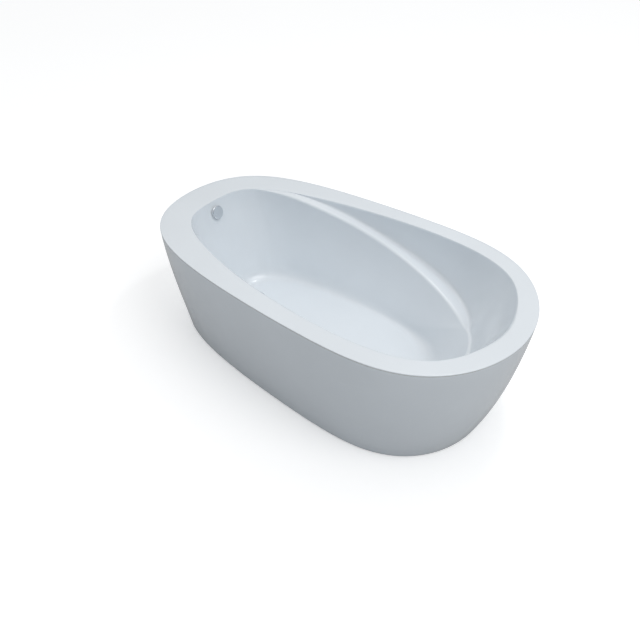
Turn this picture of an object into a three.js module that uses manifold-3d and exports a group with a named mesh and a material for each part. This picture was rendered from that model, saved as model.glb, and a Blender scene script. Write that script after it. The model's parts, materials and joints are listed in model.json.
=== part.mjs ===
// Freestanding bathtub: a moulded basin in a bonded skirt, on a levelling steel frame, with a cable-driven
// pop-up waste and overflow. Millimetres, +Z up. The origin is on the floor at the middle of the tub,
// +X points to the backrest end and -X to the overflow and drain end.
import * as THREE from "three";
import { mergeVertices } from "three/addons/utils/BufferGeometryUtils.js";
import Module from "manifold-3d";

const wasm = await Module();
wasm.setup();

// ---- Driving dimensions ----
const RIM_LENGTH = 1700;
const RIM_WIDTH = 942;
const RIM_HEIGHT = 544;
const SHELL_WALL = 6;
const GAP = 0.3; // between faces that touch

// Outline ratios: how far each harmonic bends an ellipse into an egg with blunter ends.
const RIM_SHAPE = { x2: -0.055, x3: -0.0074, x4: 0.022, y2: 0.031, y3: 0.077 };
const WELL_SHAPE = { x2: -0.125, x3: -0.094, x4: 0.039, y2: -0.004, y3: -0.05, y4: -0.012 };
const FLOOR_SHAPE = { x2: -0.02, x3: 0, x4: 0, y2: 0, y3: 0.08 };

// The well: the opening inside the deck, the floor at its bottom, and how far the walls run in between.
const DECK_AT_DRAIN_END = 150;
const DECK_AT_BACKREST = 79;
const DECK_AT_SIDES = 78;
const FLOOR_TOP = 100;
const DRAIN_END_RUN = 125;
const BACKREST_RUN = 296;
const SIDE_RUN = 131;
const FLOOR_FILLET = 60;
const RIM_EDGE_CUT = 9;

// The armrest ledge, on the +Y side. Round the well, in degrees from the backrest end, each size grows
// smoothly `by` so many millimetres between two places: the depth below the rim, the lean of the wall above
// it, and its inner lip's distance in from the rim, which swells where the ledge turns to the backrest.
const LEDGE_DEPTH = { from: 131, to: 62, by: 248 };
const WALL_LEAN = { from: 91, to: 48, by: 126 };
const LIP_START = { from: 148, to: 116, by: 46 };
const LIP_SWELL = { from: 110, to: 54, by: 97 };
const LEDGE_LEAST = 1.5;
const LEDGE_BEGINS = { from: 156, to: 140, by: 1 }; // where it grows out of the plain wall at the drain end
const LEDGE_ENDS = { from: -10, to: -75, by: 1 }; // where it runs out again, past the backrest end
const SIDE_DRAFT = 0.02;
const LEDGE_CUT = 12;

// The skirt.
const SKIRT_WALL = 5;
const SKIRT_LIFT = 2;
const SKIRT_TOP_FLANGE = 32;
const SKIRT_BASE_FLANGE = 20;
const BASE_END_TAPER = 144;
const BASE_SIDE_TAPER = 151;
const BASE_SHIFT_X = -33;
const BASE_EGG = 0.05;
const SKIRT_BEND = { length: 1.3, width: 1.86, shift: 3.5 };

// The support frame.
const BOARD_THICK = 12;
const BOARD_FROM_DRAIN = 120;
const BOARD_SHORT_OF_FLOOR = 95;
const BOARD_SIDE_MARGIN = 72;
const RAIL_SIZE = 26;
const RAIL_WALL = 2;
const RAIL_PAST_BOARD = 40;
const RAIL_INSET = 40;
const CROSS_RAIL_TALL = 25;
const CROSS_RAIL_WIDE = 34;
const CROSS_RAIL_PAST_BOARD = 55;

// The levelling feet.
const FOOT_INSET = 30;
const PAD_RADIUS = 22;
const PAD_TALL = 12;
const PAD_SOCKET_DEPTH = 7;
const PAD_CHAMFER = 1.5;
const PAD_COLLAR_WALL = 3;
const STUD_RADIUS = 5;
const STUD_ABOVE_RAIL = 11;
const STUD_CLEARANCE = 0.3;
const NUT_FLATS = 17;
const NUT_TALL = 8;

// The brackets between frame and skirt.
const BRACKET_THICK = 3;
const BRACKET_WIDE = 40;
const SCREW_RADIUS = 2.5;
const SCREW_HEAD_RADIUS = 5.5;
const SCREW_HEAD_TALL = 3;
const SCREW_LENGTH = 8;
const BRACKET_WALL_GAP = 2;
const BOLT_INSET = 9;
const BOLT_LENGTH = 10;

// The overflow, on an axis square to the end wall.
const OVERFLOW_DROP = 54;
const OVERFLOW_PAD_RADIUS = 37;
const OVERFLOW_HOLE_RADIUS = 25;
const OVERFLOW_FLANGE_RADIUS = 29;
const OVERFLOW_FLANGE_THICK = 3;
const OVERFLOW_FLANGE_TAPER = 1;
const OVERFLOW_SLEEVE_RADIUS = 22;
const OVERFLOW_SLEEVE_WALL = 2.5;
const OVERFLOW_SLEEVE_LENGTH = 22;
const OVERFLOW_BODY_DEEP = 44;
const OVERFLOW_BODY_WALL = 3.5;
const OVERFLOW_BODY_RADIUS = 29;
const GASKET_THICK = 3;
const OVERFLOW_GASKET_FIT = 1;
const OVERFLOW_GASKET_OVERHANG = 3;
const OUTLET_SHARE = 0.55; // how far back along the overflow body its outlet lies
const KNOB_RADIUS = 31;
const KNOB_STANDOFF = 4;
const KNOB_DEEP = 8;
const KNOB_WALL = 2.5;
const KNOB_BEVEL = 1.5;
const KNOB_HUB_WALL = 4;
const SPINDLE_RADIUS = 5;
const SPINDLE_SEAT = 4;
const SPINDLE_TO_KNOB = 1;
const CAM_RADIUS = 14;
const CAM_THICK = 4;
const CAM_SETBACK = 14;
const CAM_PIN_RADIUS = 2;
const CAM_PIN_LENGTH = 8;
const HUB_WALL = 3;
const HUB_ARM_WIDE = 5;
const OVERFLOW_HUB_TALL = 6;

// Hose, cable and waste.
const HOSE_RADIUS = 17;
const HOSE_WALL = 2;
const HOSE_FIT = 1;
const SPIGOT_WALL = 2;
const SPIGOT_LENGTH = 28;
const HOSE_TOP_GAP = 12;
const HOSE_END_GAP = 3;
const HOSE_BEND = 110;
const HOSE_NUT_RADIUS = 22;
const HOSE_NUT_TALL = 14;
const CABLE_RADIUS = 3;
const CABLE_BOSS_RADIUS = 5;
const CABLE_BOSS_REACH = 40;
const CABLE_OUT = 18;
const CABLE_BEND = 70;
const CABLE_END_BEND = 12;
const DRAIN_FROM_END = 115;
const DRAIN_HOLE_RADIUS = 27;
const DRAIN_FLANGE_RADIUS = 36;
const DRAIN_FLANGE_THICK = 2.5;
const DRAIN_FLANGE_EDGE = 1;
const DRAIN_FLANGE_CHAMFER = 1.5;
const DRAIN_GASKET_OVERHANG = 2;
const DRAIN_THROAT_RADIUS = 25;
const DRAIN_THROAT_WALL = 2;
const DRAIN_THROAT_LENGTH = 26;
const GUIDE_RADIUS = 7;
const GUIDE_TALL = 8;
const GUIDE_DROP = 14;
const WASTE_RADIUS = 33;
const WASTE_WALL = 3;
const WASTE_FLOOR_Z = 30;
const WASTE_SIDE_Z = 53;
const WASTE_NECK_TALL = 10;
const LIFT_PIN_GAP = 3;
const LIFT_PIN_HEAD = 2;
const OUTLET_RADIUS = 20;
const OUTLET_BOTTOM_Z = 8;
const OUTLET_NUT_RADIUS = 26;
const OUTLET_NUT_TALL = 12;
const OUTLET_NUT_LIFT = 2;
const STOPPER_RADIUS = 30;
const STOPPER_THICK = 3;
const STOPPER_CROWN = 4;
const CROWN_BREAK = { radius: 0.6, rise: 0.7 }; // where its slope steepens, as shares of radius and crown
const STOPPER_SEAL_RADIUS = 25;
const STOPPER_SEAL_THICK = 2.5;
const STOPPER_SEAT_RADIUS = 28.5;
const STOPPER_SEAT_DEEP = 4.8;
const STEM_RADIUS = 3;
const STEM_CLEARANCE = 0.4;
const STEM_LENGTH = 52;

// Facets.
const OUTLINE_STEPS = 56;
const ROUND_STEPS = 20;
const SMALL_STEPS = 10;
const HOSE_STEPS = 20;
const CABLE_STEPS = 40;
const CABLE_SIDES = 6;
const SKIRT_ROWS = 6;

// ---- Derived sizes ----
const WELL_LOW_X = -RIM_LENGTH / 2 + DECK_AT_DRAIN_END;
const WELL_HIGH_X = RIM_LENGTH / 2 - DECK_AT_BACKREST;
const WELL_WIDTH = RIM_WIDTH - 2 * DECK_AT_SIDES;
const FLOOR_LOW_X = WELL_LOW_X + DRAIN_END_RUN;
const FLOOR_HIGH_X = WELL_HIGH_X - BACKREST_RUN;
const FLOOR_WIDTH = WELL_WIDTH - 2 * SIDE_RUN;
const FLOOR_MIDDLE_X = (FLOOR_LOW_X + FLOOR_HIGH_X) / 2;
const BASE_LENGTH = RIM_LENGTH - BASE_END_TAPER;
const BASE_WIDTH = RIM_WIDTH - BASE_SIDE_TAPER;
const DRAIN_X = FLOOR_LOW_X + DRAIN_FROM_END;
const BOARD_LOW_X = DRAIN_X + BOARD_FROM_DRAIN;
const BOARD_LENGTH = FLOOR_HIGH_X - BOARD_SHORT_OF_FLOOR - BOARD_LOW_X;
const BOARD_X = BOARD_LOW_X + BOARD_LENGTH / 2;
const BOARD_WIDTH = FLOOR_WIDTH - 2 * BOARD_SIDE_MARGIN;
const RAIL_LENGTH = BOARD_LENGTH + 2 * RAIL_PAST_BOARD;
const RAIL_Y = BOARD_WIDTH / 2 - RAIL_INSET;
const CROSS_RAIL_LENGTH = BOARD_WIDTH + 2 * CROSS_RAIL_PAST_BOARD;
const CROSS_RAIL_XS = [BOARD_X - BOARD_LENGTH / 2, BOARD_X + BOARD_LENGTH / 2];
const BOARD_TOP = FLOOR_TOP - SHELL_WALL - GAP;
const RAIL_TOP = BOARD_TOP - BOARD_THICK - GAP;
const CROSS_RAIL_TOP = RAIL_TOP - RAIL_SIZE - GAP;
const CROSS_RAIL_BOTTOM = CROSS_RAIL_TOP - CROSS_RAIL_TALL;
const FOOT_Y = CROSS_RAIL_LENGTH / 2 - FOOT_INSET;
const DECK_UNDERSIDE = RIM_HEIGHT - SHELL_WALL;
const SPIGOT_RADIUS = HOSE_RADIUS - HOSE_WALL - HOSE_FIT;
const SPIGOT_BORE = SPIGOT_RADIUS - SPIGOT_WALL;
const KNOB_HUB_LOW = KNOB_STANDOFF + SPINDLE_TO_KNOB;
const SPINDLE_END = KNOB_HUB_LOW + SPINDLE_SEAT;
const CAM_BACK = -CAM_SETBACK - CAM_THICK;

// ---- Materials ----
const finish = (color, roughness, metalness) =>
  new THREE.MeshStandardMaterial({ color, roughness, metalness });
const ACRYLIC = finish(0xeef1f4, 0.18, 0);
const CHROME = finish(0xd5d8dc, 0.08, 1);
const RUBBER = finish(0x222324, 0.8, 0);
const GREY_PLASTIC = finish(0x8f9599, 0.5, 0);
const STEEL_PAINT = finish(0x4a4e52, 0.5, 0.2);
const ZINC = finish(0xb8babb, 0.35, 1);
const PLYWOOD = finish(0xb98f5f, 0.75, 0);

// ---- Geometry tools ----
function solidFrom(geometry) {
  const bare = geometry.index ? geometry.toNonIndexed() : geometry;
  bare.deleteAttribute("normal");
  bare.deleteAttribute("uv");
  const merged = mergeVertices(bare, 1e-4);
  return new wasm.Manifold(new wasm.Mesh({
    numProp: 3,
    vertProperties: merged.attributes.position.array,
    triVerts: new Uint32Array(merged.index.array),
  }));
}

function geometryFrom(solid) {
  const mesh = solid.getMesh();
  const geometry = new THREE.BufferGeometry();
  geometry.setAttribute("position", new THREE.BufferAttribute(mesh.vertProperties, 3));
  geometry.setIndex(new THREE.BufferAttribute(mesh.triVerts, 1));
  geometry.computeVertexNormals();
  return geometry;
}

function join(first, ...others) {
  return geometryFrom(others.reduce((sum, next) => sum.add(solidFrom(next)), solidFrom(first)));
}

function cut(body, ...tools) {
  return geometryFrom(tools.reduce((rest, tool) => rest.subtract(solidFrom(tool)), solidFrom(body)));
}

// A turned solid about Z from [radius, z] points that go round the section against the clock.
function turned(profile, steps = ROUND_STEPS) {
  const points = profile.map(([radius, z]) => new THREE.Vector2(radius, z));
  const first = profile[0];
  const onAxis = first[0] === 0 && profile[profile.length - 1][0] === 0;
  if (!onAxis) points.push(new THREE.Vector2(first[0], first[1]));
  return new THREE.LatheGeometry(points, steps).rotateX(Math.PI / 2);
}

function rod(radius, low, high, steps = ROUND_STEPS) {
  return turned([[0, low], [radius, low], [radius, high], [0, high]], steps);
}

function ring(inner, outer, low, high, steps = ROUND_STEPS) {
  return turned([[inner, low], [outer, low], [outer, high], [inner, high]], steps);
}

function box(sizeX, sizeY, sizeZ, x = 0, y = 0, z = 0) {
  return new THREE.BoxGeometry(sizeX, sizeY, sizeZ).translate(x, y, z);
}

function hexagon(flats, low, high, bore) {
  const corner = flats / Math.sqrt(3);
  return cut(rod(corner, low, high, 6), rod(bore, low - 1, high + 1, SMALL_STEPS));
}

// A round bar or pipe along a path.
function pipe(points, radius, bore, steps, sides = SMALL_STEPS) {
  const section = new THREE.Shape();
  section.absarc(0, 0, radius, 0, 2 * Math.PI);
  if (bore > 0) {
    const hole = new THREE.Path();
    hole.absarc(0, 0, bore, 0, 2 * Math.PI, true);
    section.holes.push(hole);
  }
  const path = new THREE.CatmullRomCurve3(points.map((point) => new THREE.Vector3(...point)));
  const options = { steps, extrudePath: path, curveSegments: sides / 2 };
  return new THREE.ExtrudeGeometry(section, options);
}

// A closed skin over rows of points: each row goes once round, and pole points close the two ends.
function skin(rows, poles) {
  const around = rows[0].length;
  const positions = rows.flat(2);
  const index = [];
  const at = (row, step) => row * around + (step % around);
  const bands = poles ? rows.length - 1 : rows.length;
  for (let row = 0; row < bands; row += 1) {
    const next = (row + 1) % rows.length;
    for (let step = 0; step < around; step += 1) {
      index.push(at(row, step), at(row, step + 1), at(next, step + 1));
      index.push(at(row, step), at(next, step + 1), at(next, step));
    }
  }
  if (poles) {
    const first = positions.length / 3;
    positions.push(...poles[0], ...poles[1]);
    for (let step = 0; step < around; step += 1) {
      index.push(first, at(0, step + 1), at(0, step));
      index.push(first + 1, at(rows.length - 1, step), at(rows.length - 1, step + 1));
    }
  }
  const geometry = new THREE.BufferGeometry();
  geometry.setAttribute("position", new THREE.Float32BufferAttribute(positions, 3));
  geometry.setIndex(index);
  return geometry;
}

// ---- Outlines ----
const ANGLES = Array.from({ length: OUTLINE_STEPS }, (_, i) => (2 * Math.PI * i) / OUTLINE_STEPS);

// An egg seen from above that spans lowX to highX and is `width` wide: an ellipse with small higher waves.
function outline(shape, lowX, highX, width) {
  const half = (highX - lowX) / 2;
  const middle = (highX + lowX) / 2;
  const points = ANGLES.map((a) => {
    const x = (1 - shape.x3) * Math.cos(a) + shape.x3 * Math.cos(3 * a)
      + shape.x2 * (Math.cos(2 * a) - 1) + shape.x4 * (Math.cos(4 * a) - 1);
    const y = Math.sin(a) + shape.y2 * Math.sin(2 * a) + shape.y3 * Math.sin(3 * a)
      + (shape.y4 ?? 0) * Math.sin(4 * a);
    return [middle + half * x, y];
  });
  const widest = Math.max(...points.map((point) => point[1]));
  return points.map(([x, y]) => [x, (y * width) / 2 / widest]);
}

// The direction straight out of an outline at each of its points.
function outwards(points) {
  return points.map((_, i) => {
    const before = points[(i + points.length - 1) % points.length];
    const after = points[(i + 1) % points.length];
    const run = new THREE.Vector2(after[0] - before[0], after[1] - before[1]).normalize();
    return [run.y, -run.x];
  });
}

function moved(point, direction, distance) {
  return [point[0] + direction[0] * distance, point[1] + direction[1] * distance];
}

const mix = (from, to, share) => from + (to - from) * share;

// How far a size has grown at a place round the well: smoothly from nothing at `from` to `by` at `to`.
function grown({ from, to, by }, place) {
  const share = Math.min(Math.max((from - place) / (from - to), 0), 1);
  return by * share * share * (3 - 2 * share);
}

const rimOutline = outline(RIM_SHAPE, -RIM_LENGTH / 2, RIM_LENGTH / 2, RIM_WIDTH);
const wellOutline = outline(WELL_SHAPE, WELL_LOW_X, WELL_HIGH_X, WELL_WIDTH);
const wellOutwards = outwards(wellOutline);
const floorOutline = outline(FLOOR_SHAPE, FLOOR_LOW_X, FLOOR_HIGH_X, FLOOR_WIDTH);

// ---- The basin ----
// Degrees round the well from the backrest end, positive on the +Y side.
function placeRound(step) {
  const degrees = (360 * step) / OUTLINE_STEPS;
  return degrees > 180 ? degrees - 360 : degrees;
}

// A point part of the way down the plain wall from the rim to the floor.
function plainWall(step, share) {
  const [edge, foot] = [wellOutline[step], floorOutline[step]];
  return [mix(edge[0], foot[0], share), mix(edge[1], foot[1], share), mix(RIM_HEIGHT, FLOOR_TOP, share)];
}

// The corners of the basin's section at one step round the well, from the floor out to the rim.
function basinCorners(step, spread, drop) {
  const edge = wellOutline[step];
  const out = wellOutwards[step];
  const place = Math.abs(placeRound(step));
  const gone = 1 - grown(LEDGE_BEGINS, placeRound(step)) * (1 - grown(LEDGE_ENDS, placeRound(step)));
  const depth = LEDGE_LEAST + grown(LEDGE_DEPTH, place);
  const lean = SIDE_DRAFT * depth + grown(WALL_LEAN, place);
  const lip = Math.max(grown(LIP_START, place) + grown(LIP_SWELL, place), lean + LEDGE_LEAST);
  const share = depth / (RIM_HEIGHT - FLOOR_TOP);
  const ledgeCorner = (inset, plain) => {
    const ledge = [...moved(edge, out, -inset), RIM_HEIGHT - depth];
    return ledge.map((size, i) => mix(size, plain[i], gone));
  };
  const corners = [
    [...floorOutline[step], FLOOR_TOP],
    ledgeCorner(lip, plainWall(step, 1.5 * share)),
    ledgeCorner(lean, plainWall(step, 0.5 * share)),
    [...edge, RIM_HEIGHT],
  ];
  return corners.map(([x, y, z]) => [...moved([x, y], out, spread), z - drop]);
}

// A section with its corners rounded by short curves, `cuts` long on each side of the corner.
function rounded(start, corners, end, cuts, steps) {
  const chain = [start, ...corners, end].map((point) => new THREE.Vector3(...point));
  const points = [];
  for (let i = 1; i < chain.length - 1; i += 1) {
    const toBefore = chain[i - 1].clone().sub(chain[i]);
    const toAfter = chain[i + 1].clone().sub(chain[i]);
    const reach = Math.min(cuts[i - 1], 0.45 * toBefore.length(), 0.45 * toAfter.length());
    const from = chain[i].clone().addScaledVector(toBefore.normalize(), reach);
    const to = chain[i].clone().addScaledVector(toAfter.normalize(), reach);
    const bend = new THREE.QuadraticBezierCurve3(from, chain[i], to);
    points.push(...bend.getPoints(steps[i - 1]).map((point) => point.toArray()));
  }
  return points;
}

// Rows from the floor out to the deck, over the well's surface or, spread and dropped, over its underside.
function basinRows(spread, drop) {
  const middle = [FLOOR_MIDDLE_X, 0, FLOOR_TOP - drop];
  const cuts = [FLOOR_FILLET, LEDGE_CUT, LEDGE_CUT, RIM_EDGE_CUT];
  const sections = ANGLES.map((_, step) => {
    const deckEnd = [...rimOutline[step], RIM_HEIGHT - drop];
    return rounded(middle, basinCorners(step, spread, drop), deckEnd, cuts, [4, 2, 2, 1]);
  });
  return sections[0].map((_, row) => sections.map((section) => section[row]));
}

// The end wall where the overflow sits: its point on the wall and its slope from upright.
function overflowSeat() {
  const [foot, lip] = basinCorners(OUTLINE_STEPS / 2, 0, 0);
  const slope = Math.atan2(foot[0] - lip[0], lip[2] - foot[2]);
  const z = RIM_HEIGHT - OVERFLOW_DROP;
  return { x: lip[0] + (lip[2] - z) * Math.tan(slope), z, slope };
}

const OVERFLOW = overflowSeat();
// The shell's thickness square to that wall: it is spread outwards and dropped by the same distance.
const OVERFLOW_WALL = SHELL_WALL * (Math.cos(OVERFLOW.slope) + Math.sin(OVERFLOW.slope));

function onOverflowAxis(geometry) {
  return geometry.rotateY(Math.PI / 2 - OVERFLOW.slope).translate(OVERFLOW.x, 0, OVERFLOW.z);
}

function basinShell() {
  const inside = basinRows(0, 0).reverse();
  const deckEdge = rimOutline.map((point) => [...point, RIM_HEIGHT]);
  const deckUnder = rimOutline.map((point) => [...point, DECK_UNDERSIDE]);
  const under = basinRows(SHELL_WALL, SHELL_WALL);
  const poles = [[FLOOR_MIDDLE_X, 0, FLOOR_TOP - SHELL_WALL], [FLOOR_MIDDLE_X, 0, FLOOR_TOP]];
  const shell = skin([...under, deckUnder, deckEdge, ...inside], poles);
  const flatBack = onOverflowAxis(rod(OVERFLOW_PAD_RADIUS, -OVERFLOW_WALL, -OVERFLOW_WALL / 2));
  const flatFront = onOverflowAxis(rod(OVERFLOW_PAD_RADIUS, 0, SHELL_WALL));
  const overflowHole = onOverflowAxis(rod(OVERFLOW_HOLE_RADIUS, -3 * SHELL_WALL, 3 * SHELL_WALL));
  const drainHole = rod(DRAIN_HOLE_RADIUS, FLOOR_TOP - 2 * SHELL_WALL, FLOOR_TOP + SHELL_WALL);
  drainHole.translate(DRAIN_X, 0, 0);
  return cut(join(shell, flatBack), flatFront, overflowHole, drainHole);
}

// ---- The skirt ----
function skirtPoint(point, z) {
  const left = Math.max(1 - z / RIM_HEIGHT, 0);
  const lengthShare = mix(1, BASE_LENGTH / RIM_LENGTH, left ** SKIRT_BEND.length);
  const taper = left ** SKIRT_BEND.width;
  const widthShare = mix(1, BASE_WIDTH / RIM_WIDTH, taper);
  const egg = 1 + BASE_EGG * taper * (point[0] / (RIM_LENGTH / 2));
  return [point[0] * lengthShare + BASE_SHIFT_X * left ** SKIRT_BEND.shift, point[1] * widthShare * egg];
}

function skirtRow(z, inset) {
  const points = rimOutline.map((point) => skirtPoint(point, z));
  const out = outwards(points);
  return points.map((point, i) => [...moved(point, out[i], -inset), z]);
}

function skirtShell() {
  const top = DECK_UNDERSIDE - GAP;
  const heights = Array.from({ length: SKIRT_ROWS }, (_, i) => mix(SKIRT_LIFT, top, i / (SKIRT_ROWS - 1)));
  const outer = heights.map((z) => skirtRow(z, 0));
  const topFlange = [skirtRow(top, SKIRT_TOP_FLANGE), skirtRow(top - SKIRT_WALL, SKIRT_TOP_FLANGE)];
  const innerHeights = [top - SKIRT_WALL, ...heights.slice(1, -1).reverse(), SKIRT_LIFT + SKIRT_WALL];
  const inner = innerHeights.map((z) => skirtRow(z, SKIRT_WALL));
  const reach = SKIRT_WALL + SKIRT_BASE_FLANGE;
  const baseFlange = [skirtRow(SKIRT_LIFT + SKIRT_WALL, reach), skirtRow(SKIRT_LIFT, reach)];
  const shell = skin([...outer, ...topFlange, ...inner, ...baseFlange]);
  const holes = bracketPlaces().map(({ x, side }) =>
    rod(SCREW_RADIUS + GAP, 0, 2 * SKIRT_WALL, SMALL_STEPS).translate(x, side * SCREW_Y, 0));
  return cut(shell, ...holes);
}

function bracketPlaces() {
  return CROSS_RAIL_XS.flatMap((x) => [-1, 1].map((side) => ({ x, side })));
}

// Half the skirt's inside width at a place along the tub, near the floor.
function skirtHalfWidth(x, z) {
  const row = skirtRow(z, SKIRT_WALL).filter((point) => point[1] > 0);
  const i = row.findIndex((point) => point[0] < x);
  const share = (x - row[i - 1][0]) / (row[i][0] - row[i - 1][0]);
  return mix(row[i - 1][1], row[i][1], share);
}

// ---- Frame and feet ----
function squareTube(length, wide, tall, wall) {
  return cut(box(length, wide, tall), box(length + 2, wide - 2 * wall, tall - 2 * wall));
}

function frameRail() {
  return squareTube(RAIL_LENGTH, RAIL_SIZE, RAIL_SIZE, RAIL_WALL);
}

// A cross rail along Y with an upright hole for each stud, and one in its top wall for each bracket bolt.
function crossRail(studYs, boltYs) {
  const tube = squareTube(CROSS_RAIL_LENGTH, CROSS_RAIL_WIDE, CROSS_RAIL_TALL, RAIL_WALL);
  tube.rotateZ(Math.PI / 2);
  const studHoles = studYs.map((y) =>
    rod(STUD_RADIUS + STUD_CLEARANCE, -CROSS_RAIL_TALL, CROSS_RAIL_TALL, SMALL_STEPS).translate(0, y, 0));
  const boltHoles = boltYs.map((y) =>
    rod(SCREW_RADIUS + GAP, 0, CROSS_RAIL_TALL, SMALL_STEPS).translate(0, y, 0));
  return cut(tube, ...studHoles, ...boltHoles);
}

function footPad() {
  const socket = STUD_RADIUS + STUD_CLEARANCE;
  const collar = socket + PAD_COLLAR_WALL;
  return turned([
    [0, 0], [PAD_RADIUS - PAD_CHAMFER, 0], [PAD_RADIUS, PAD_CHAMFER],
    [PAD_RADIUS, PAD_TALL / 2], [collar, PAD_TALL],
    [socket, PAD_TALL], [socket, PAD_TALL - PAD_SOCKET_DEPTH], [0, PAD_TALL - PAD_SOCKET_DEPTH],
  ], SMALL_STEPS);
}

function footStud() {
  const low = PAD_TALL - PAD_SOCKET_DEPTH + GAP;
  return rod(STUD_RADIUS, low, CROSS_RAIL_TOP + STUD_ABOVE_RAIL, SMALL_STEPS);
}

const nut = () => hexagon(NUT_FLATS, 0, NUT_TALL, STUD_RADIUS + STUD_CLEARANCE);

// ---- Brackets ----
const BRACKET_LOW = SKIRT_LIFT + SKIRT_WALL + GAP;
const BRACKET_HIGH = CROSS_RAIL_TOP + GAP + BRACKET_THICK;
const BRACKET_REACH = bracketReach();
const SCREW_Y = CROSS_RAIL_LENGTH / 2 + GAP + BRACKET_REACH - SKIRT_BASE_FLANGE / 2;
const BOLT_Y = CROSS_RAIL_LENGTH / 2 - BOLT_INSET;

// How far a bracket reaches from its rail's end to just short of the skirt, the same at all four places.
function bracketReach() {
  const edges = bracketPlaces().map(({ x, side }) => x + (side * BRACKET_WIDE) / 2);
  const narrowest = Math.min(...edges.map((x) => skirtHalfWidth(x, SKIRT_LIFT)));
  return narrowest - BRACKET_WALL_GAP - CROSS_RAIL_LENGTH / 2 - GAP;
}

// A bent strip from the top of a cross rail's end down and out to the skirt's base flange, along +Y.
function skirtBracket() {
  const tall = BRACKET_HIGH - BRACKET_LOW;
  const leg = box(BRACKET_WIDE, BRACKET_THICK, tall, 0, BRACKET_THICK / 2, BRACKET_LOW + tall / 2);
  const foot = box(BRACKET_WIDE, BRACKET_REACH, BRACKET_THICK, 0, BRACKET_REACH / 2,
    BRACKET_LOW + BRACKET_THICK / 2);
  const tabLong = 2 * BOLT_INSET + BRACKET_THICK;
  const tab = box(BRACKET_WIDE, tabLong, BRACKET_THICK, 0, BRACKET_THICK - tabLong / 2,
    BRACKET_HIGH - BRACKET_THICK / 2);
  const hole = (y, low) =>
    rod(SCREW_RADIUS + GAP, low - 1, low + BRACKET_THICK + 1, SMALL_STEPS).translate(0, y, 0);
  const start = CROSS_RAIL_LENGTH / 2 + GAP;
  const screwHole = hole(SCREW_Y - start, BRACKET_LOW);
  const boltHole = hole(BOLT_Y - start, BRACKET_HIGH - BRACKET_THICK);
  return cut(join(leg, foot, tab), screwHole, boltHole);
}

// A pan-head fastener with its head's underside at zero and its shank below.
function fastener(length) {
  return turned([
    [0, -length], [SCREW_RADIUS, -length], [SCREW_RADIUS, 0], [SCREW_HEAD_RADIUS, 0],
    [SCREW_HEAD_RADIUS, SCREW_HEAD_TALL / 2], [SCREW_HEAD_RADIUS / 2, SCREW_HEAD_TALL], [0, SCREW_HEAD_TALL],
  ], SMALL_STEPS);
}

// ---- Overflow, in the frame of its axis: zero is the well's surface and + points into the well ----
const SLEEVE_BORE = OVERFLOW_SLEEVE_RADIUS - OVERFLOW_SLEEVE_WALL;

// A hub on cross arms inside a round bore, with a hole along its axis.
function spider(bore, hub, hole, low, high) {
  const long = 2 * (bore + 1);
  const arms = [box(long, HUB_ARM_WIDE, high - low, 0, 0, (low + high) / 2),
    box(HUB_ARM_WIDE, long, high - low, 0, 0, (low + high) / 2)];
  const middle = rod(hub, low, high, SMALL_STEPS);
  return { solids: [middle, ...arms], hole: rod(hole, low - 1, high + 1, SMALL_STEPS) };
}

function overflowFlange() {
  const sleeve = turned([
    [SLEEVE_BORE, -OVERFLOW_SLEEVE_LENGTH], [OVERFLOW_SLEEVE_RADIUS, -OVERFLOW_SLEEVE_LENGTH],
    [OVERFLOW_SLEEVE_RADIUS, GAP], [OVERFLOW_FLANGE_RADIUS, GAP],
    [OVERFLOW_FLANGE_RADIUS - OVERFLOW_FLANGE_TAPER, OVERFLOW_FLANGE_THICK],
    [SLEEVE_BORE, OVERFLOW_FLANGE_THICK],
  ]);
  const hubHole = SPINDLE_RADIUS + STEM_CLEARANCE;
  const { solids, hole } = spider(SLEEVE_BORE, hubHole + HUB_WALL, hubHole, -OVERFLOW_HUB_TALL, 0);
  return cut(join(sleeve, ...solids), hole);
}

const GASKET_FRONT = -OVERFLOW_WALL - GAP;
const BODY_FRONT = GASKET_FRONT - GASKET_THICK - GAP;
const BODY_BACK = BODY_FRONT - OVERFLOW_BODY_DEEP;

function overflowGasket() {
  const inner = OVERFLOW_SLEEVE_RADIUS + OVERFLOW_GASKET_FIT;
  const outer = OVERFLOW_BODY_RADIUS + OVERFLOW_GASKET_OVERHANG;
  return ring(inner, outer, GASKET_FRONT - GASKET_THICK, GASKET_FRONT);
}

// Where the overflow body's outlet starts, and the upright way down from it, in the tub's frame.
function overflowOutlet() {
  const axis = new THREE.Vector3(Math.cos(OVERFLOW.slope), 0, Math.sin(OVERFLOW.slope));
  const middle = new THREE.Vector3(OVERFLOW.x, 0, OVERFLOW.z);
  return middle.addScaledVector(axis, mix(BODY_FRONT, BODY_BACK, OUTLET_SHARE));
}

function overflowBody() {
  const bore = OVERFLOW_SLEEVE_RADIUS + STUD_CLEARANCE;
  const back = BODY_BACK + OVERFLOW_BODY_WALL;
  const shell = onOverflowAxis(turned([
    [0, BODY_BACK], [OVERFLOW_BODY_RADIUS, BODY_BACK], [OVERFLOW_BODY_RADIUS, BODY_FRONT],
    [bore, BODY_FRONT], [bore, back], [0, back],
  ]));
  const outlet = overflowOutlet();
  const low = -OVERFLOW_BODY_RADIUS - SPIGOT_LENGTH;
  const spigot = rod(SPIGOT_RADIUS, low, 1 - bore);
  const way = rod(SPIGOT_BORE, low - 1, 0);
  const boss = rod(CABLE_BOSS_RADIUS, bore + 1, CABLE_BOSS_REACH, SMALL_STEPS).rotateX(-Math.PI / 2);
  [spigot, way, boss].forEach((piece) => piece.translate(outlet.x, outlet.y, outlet.z));
  const inside = onOverflowAxis(rod(bore, back, BODY_FRONT + 1));
  return cut(join(shell, spigot, boss), inside, way);
}

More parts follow.
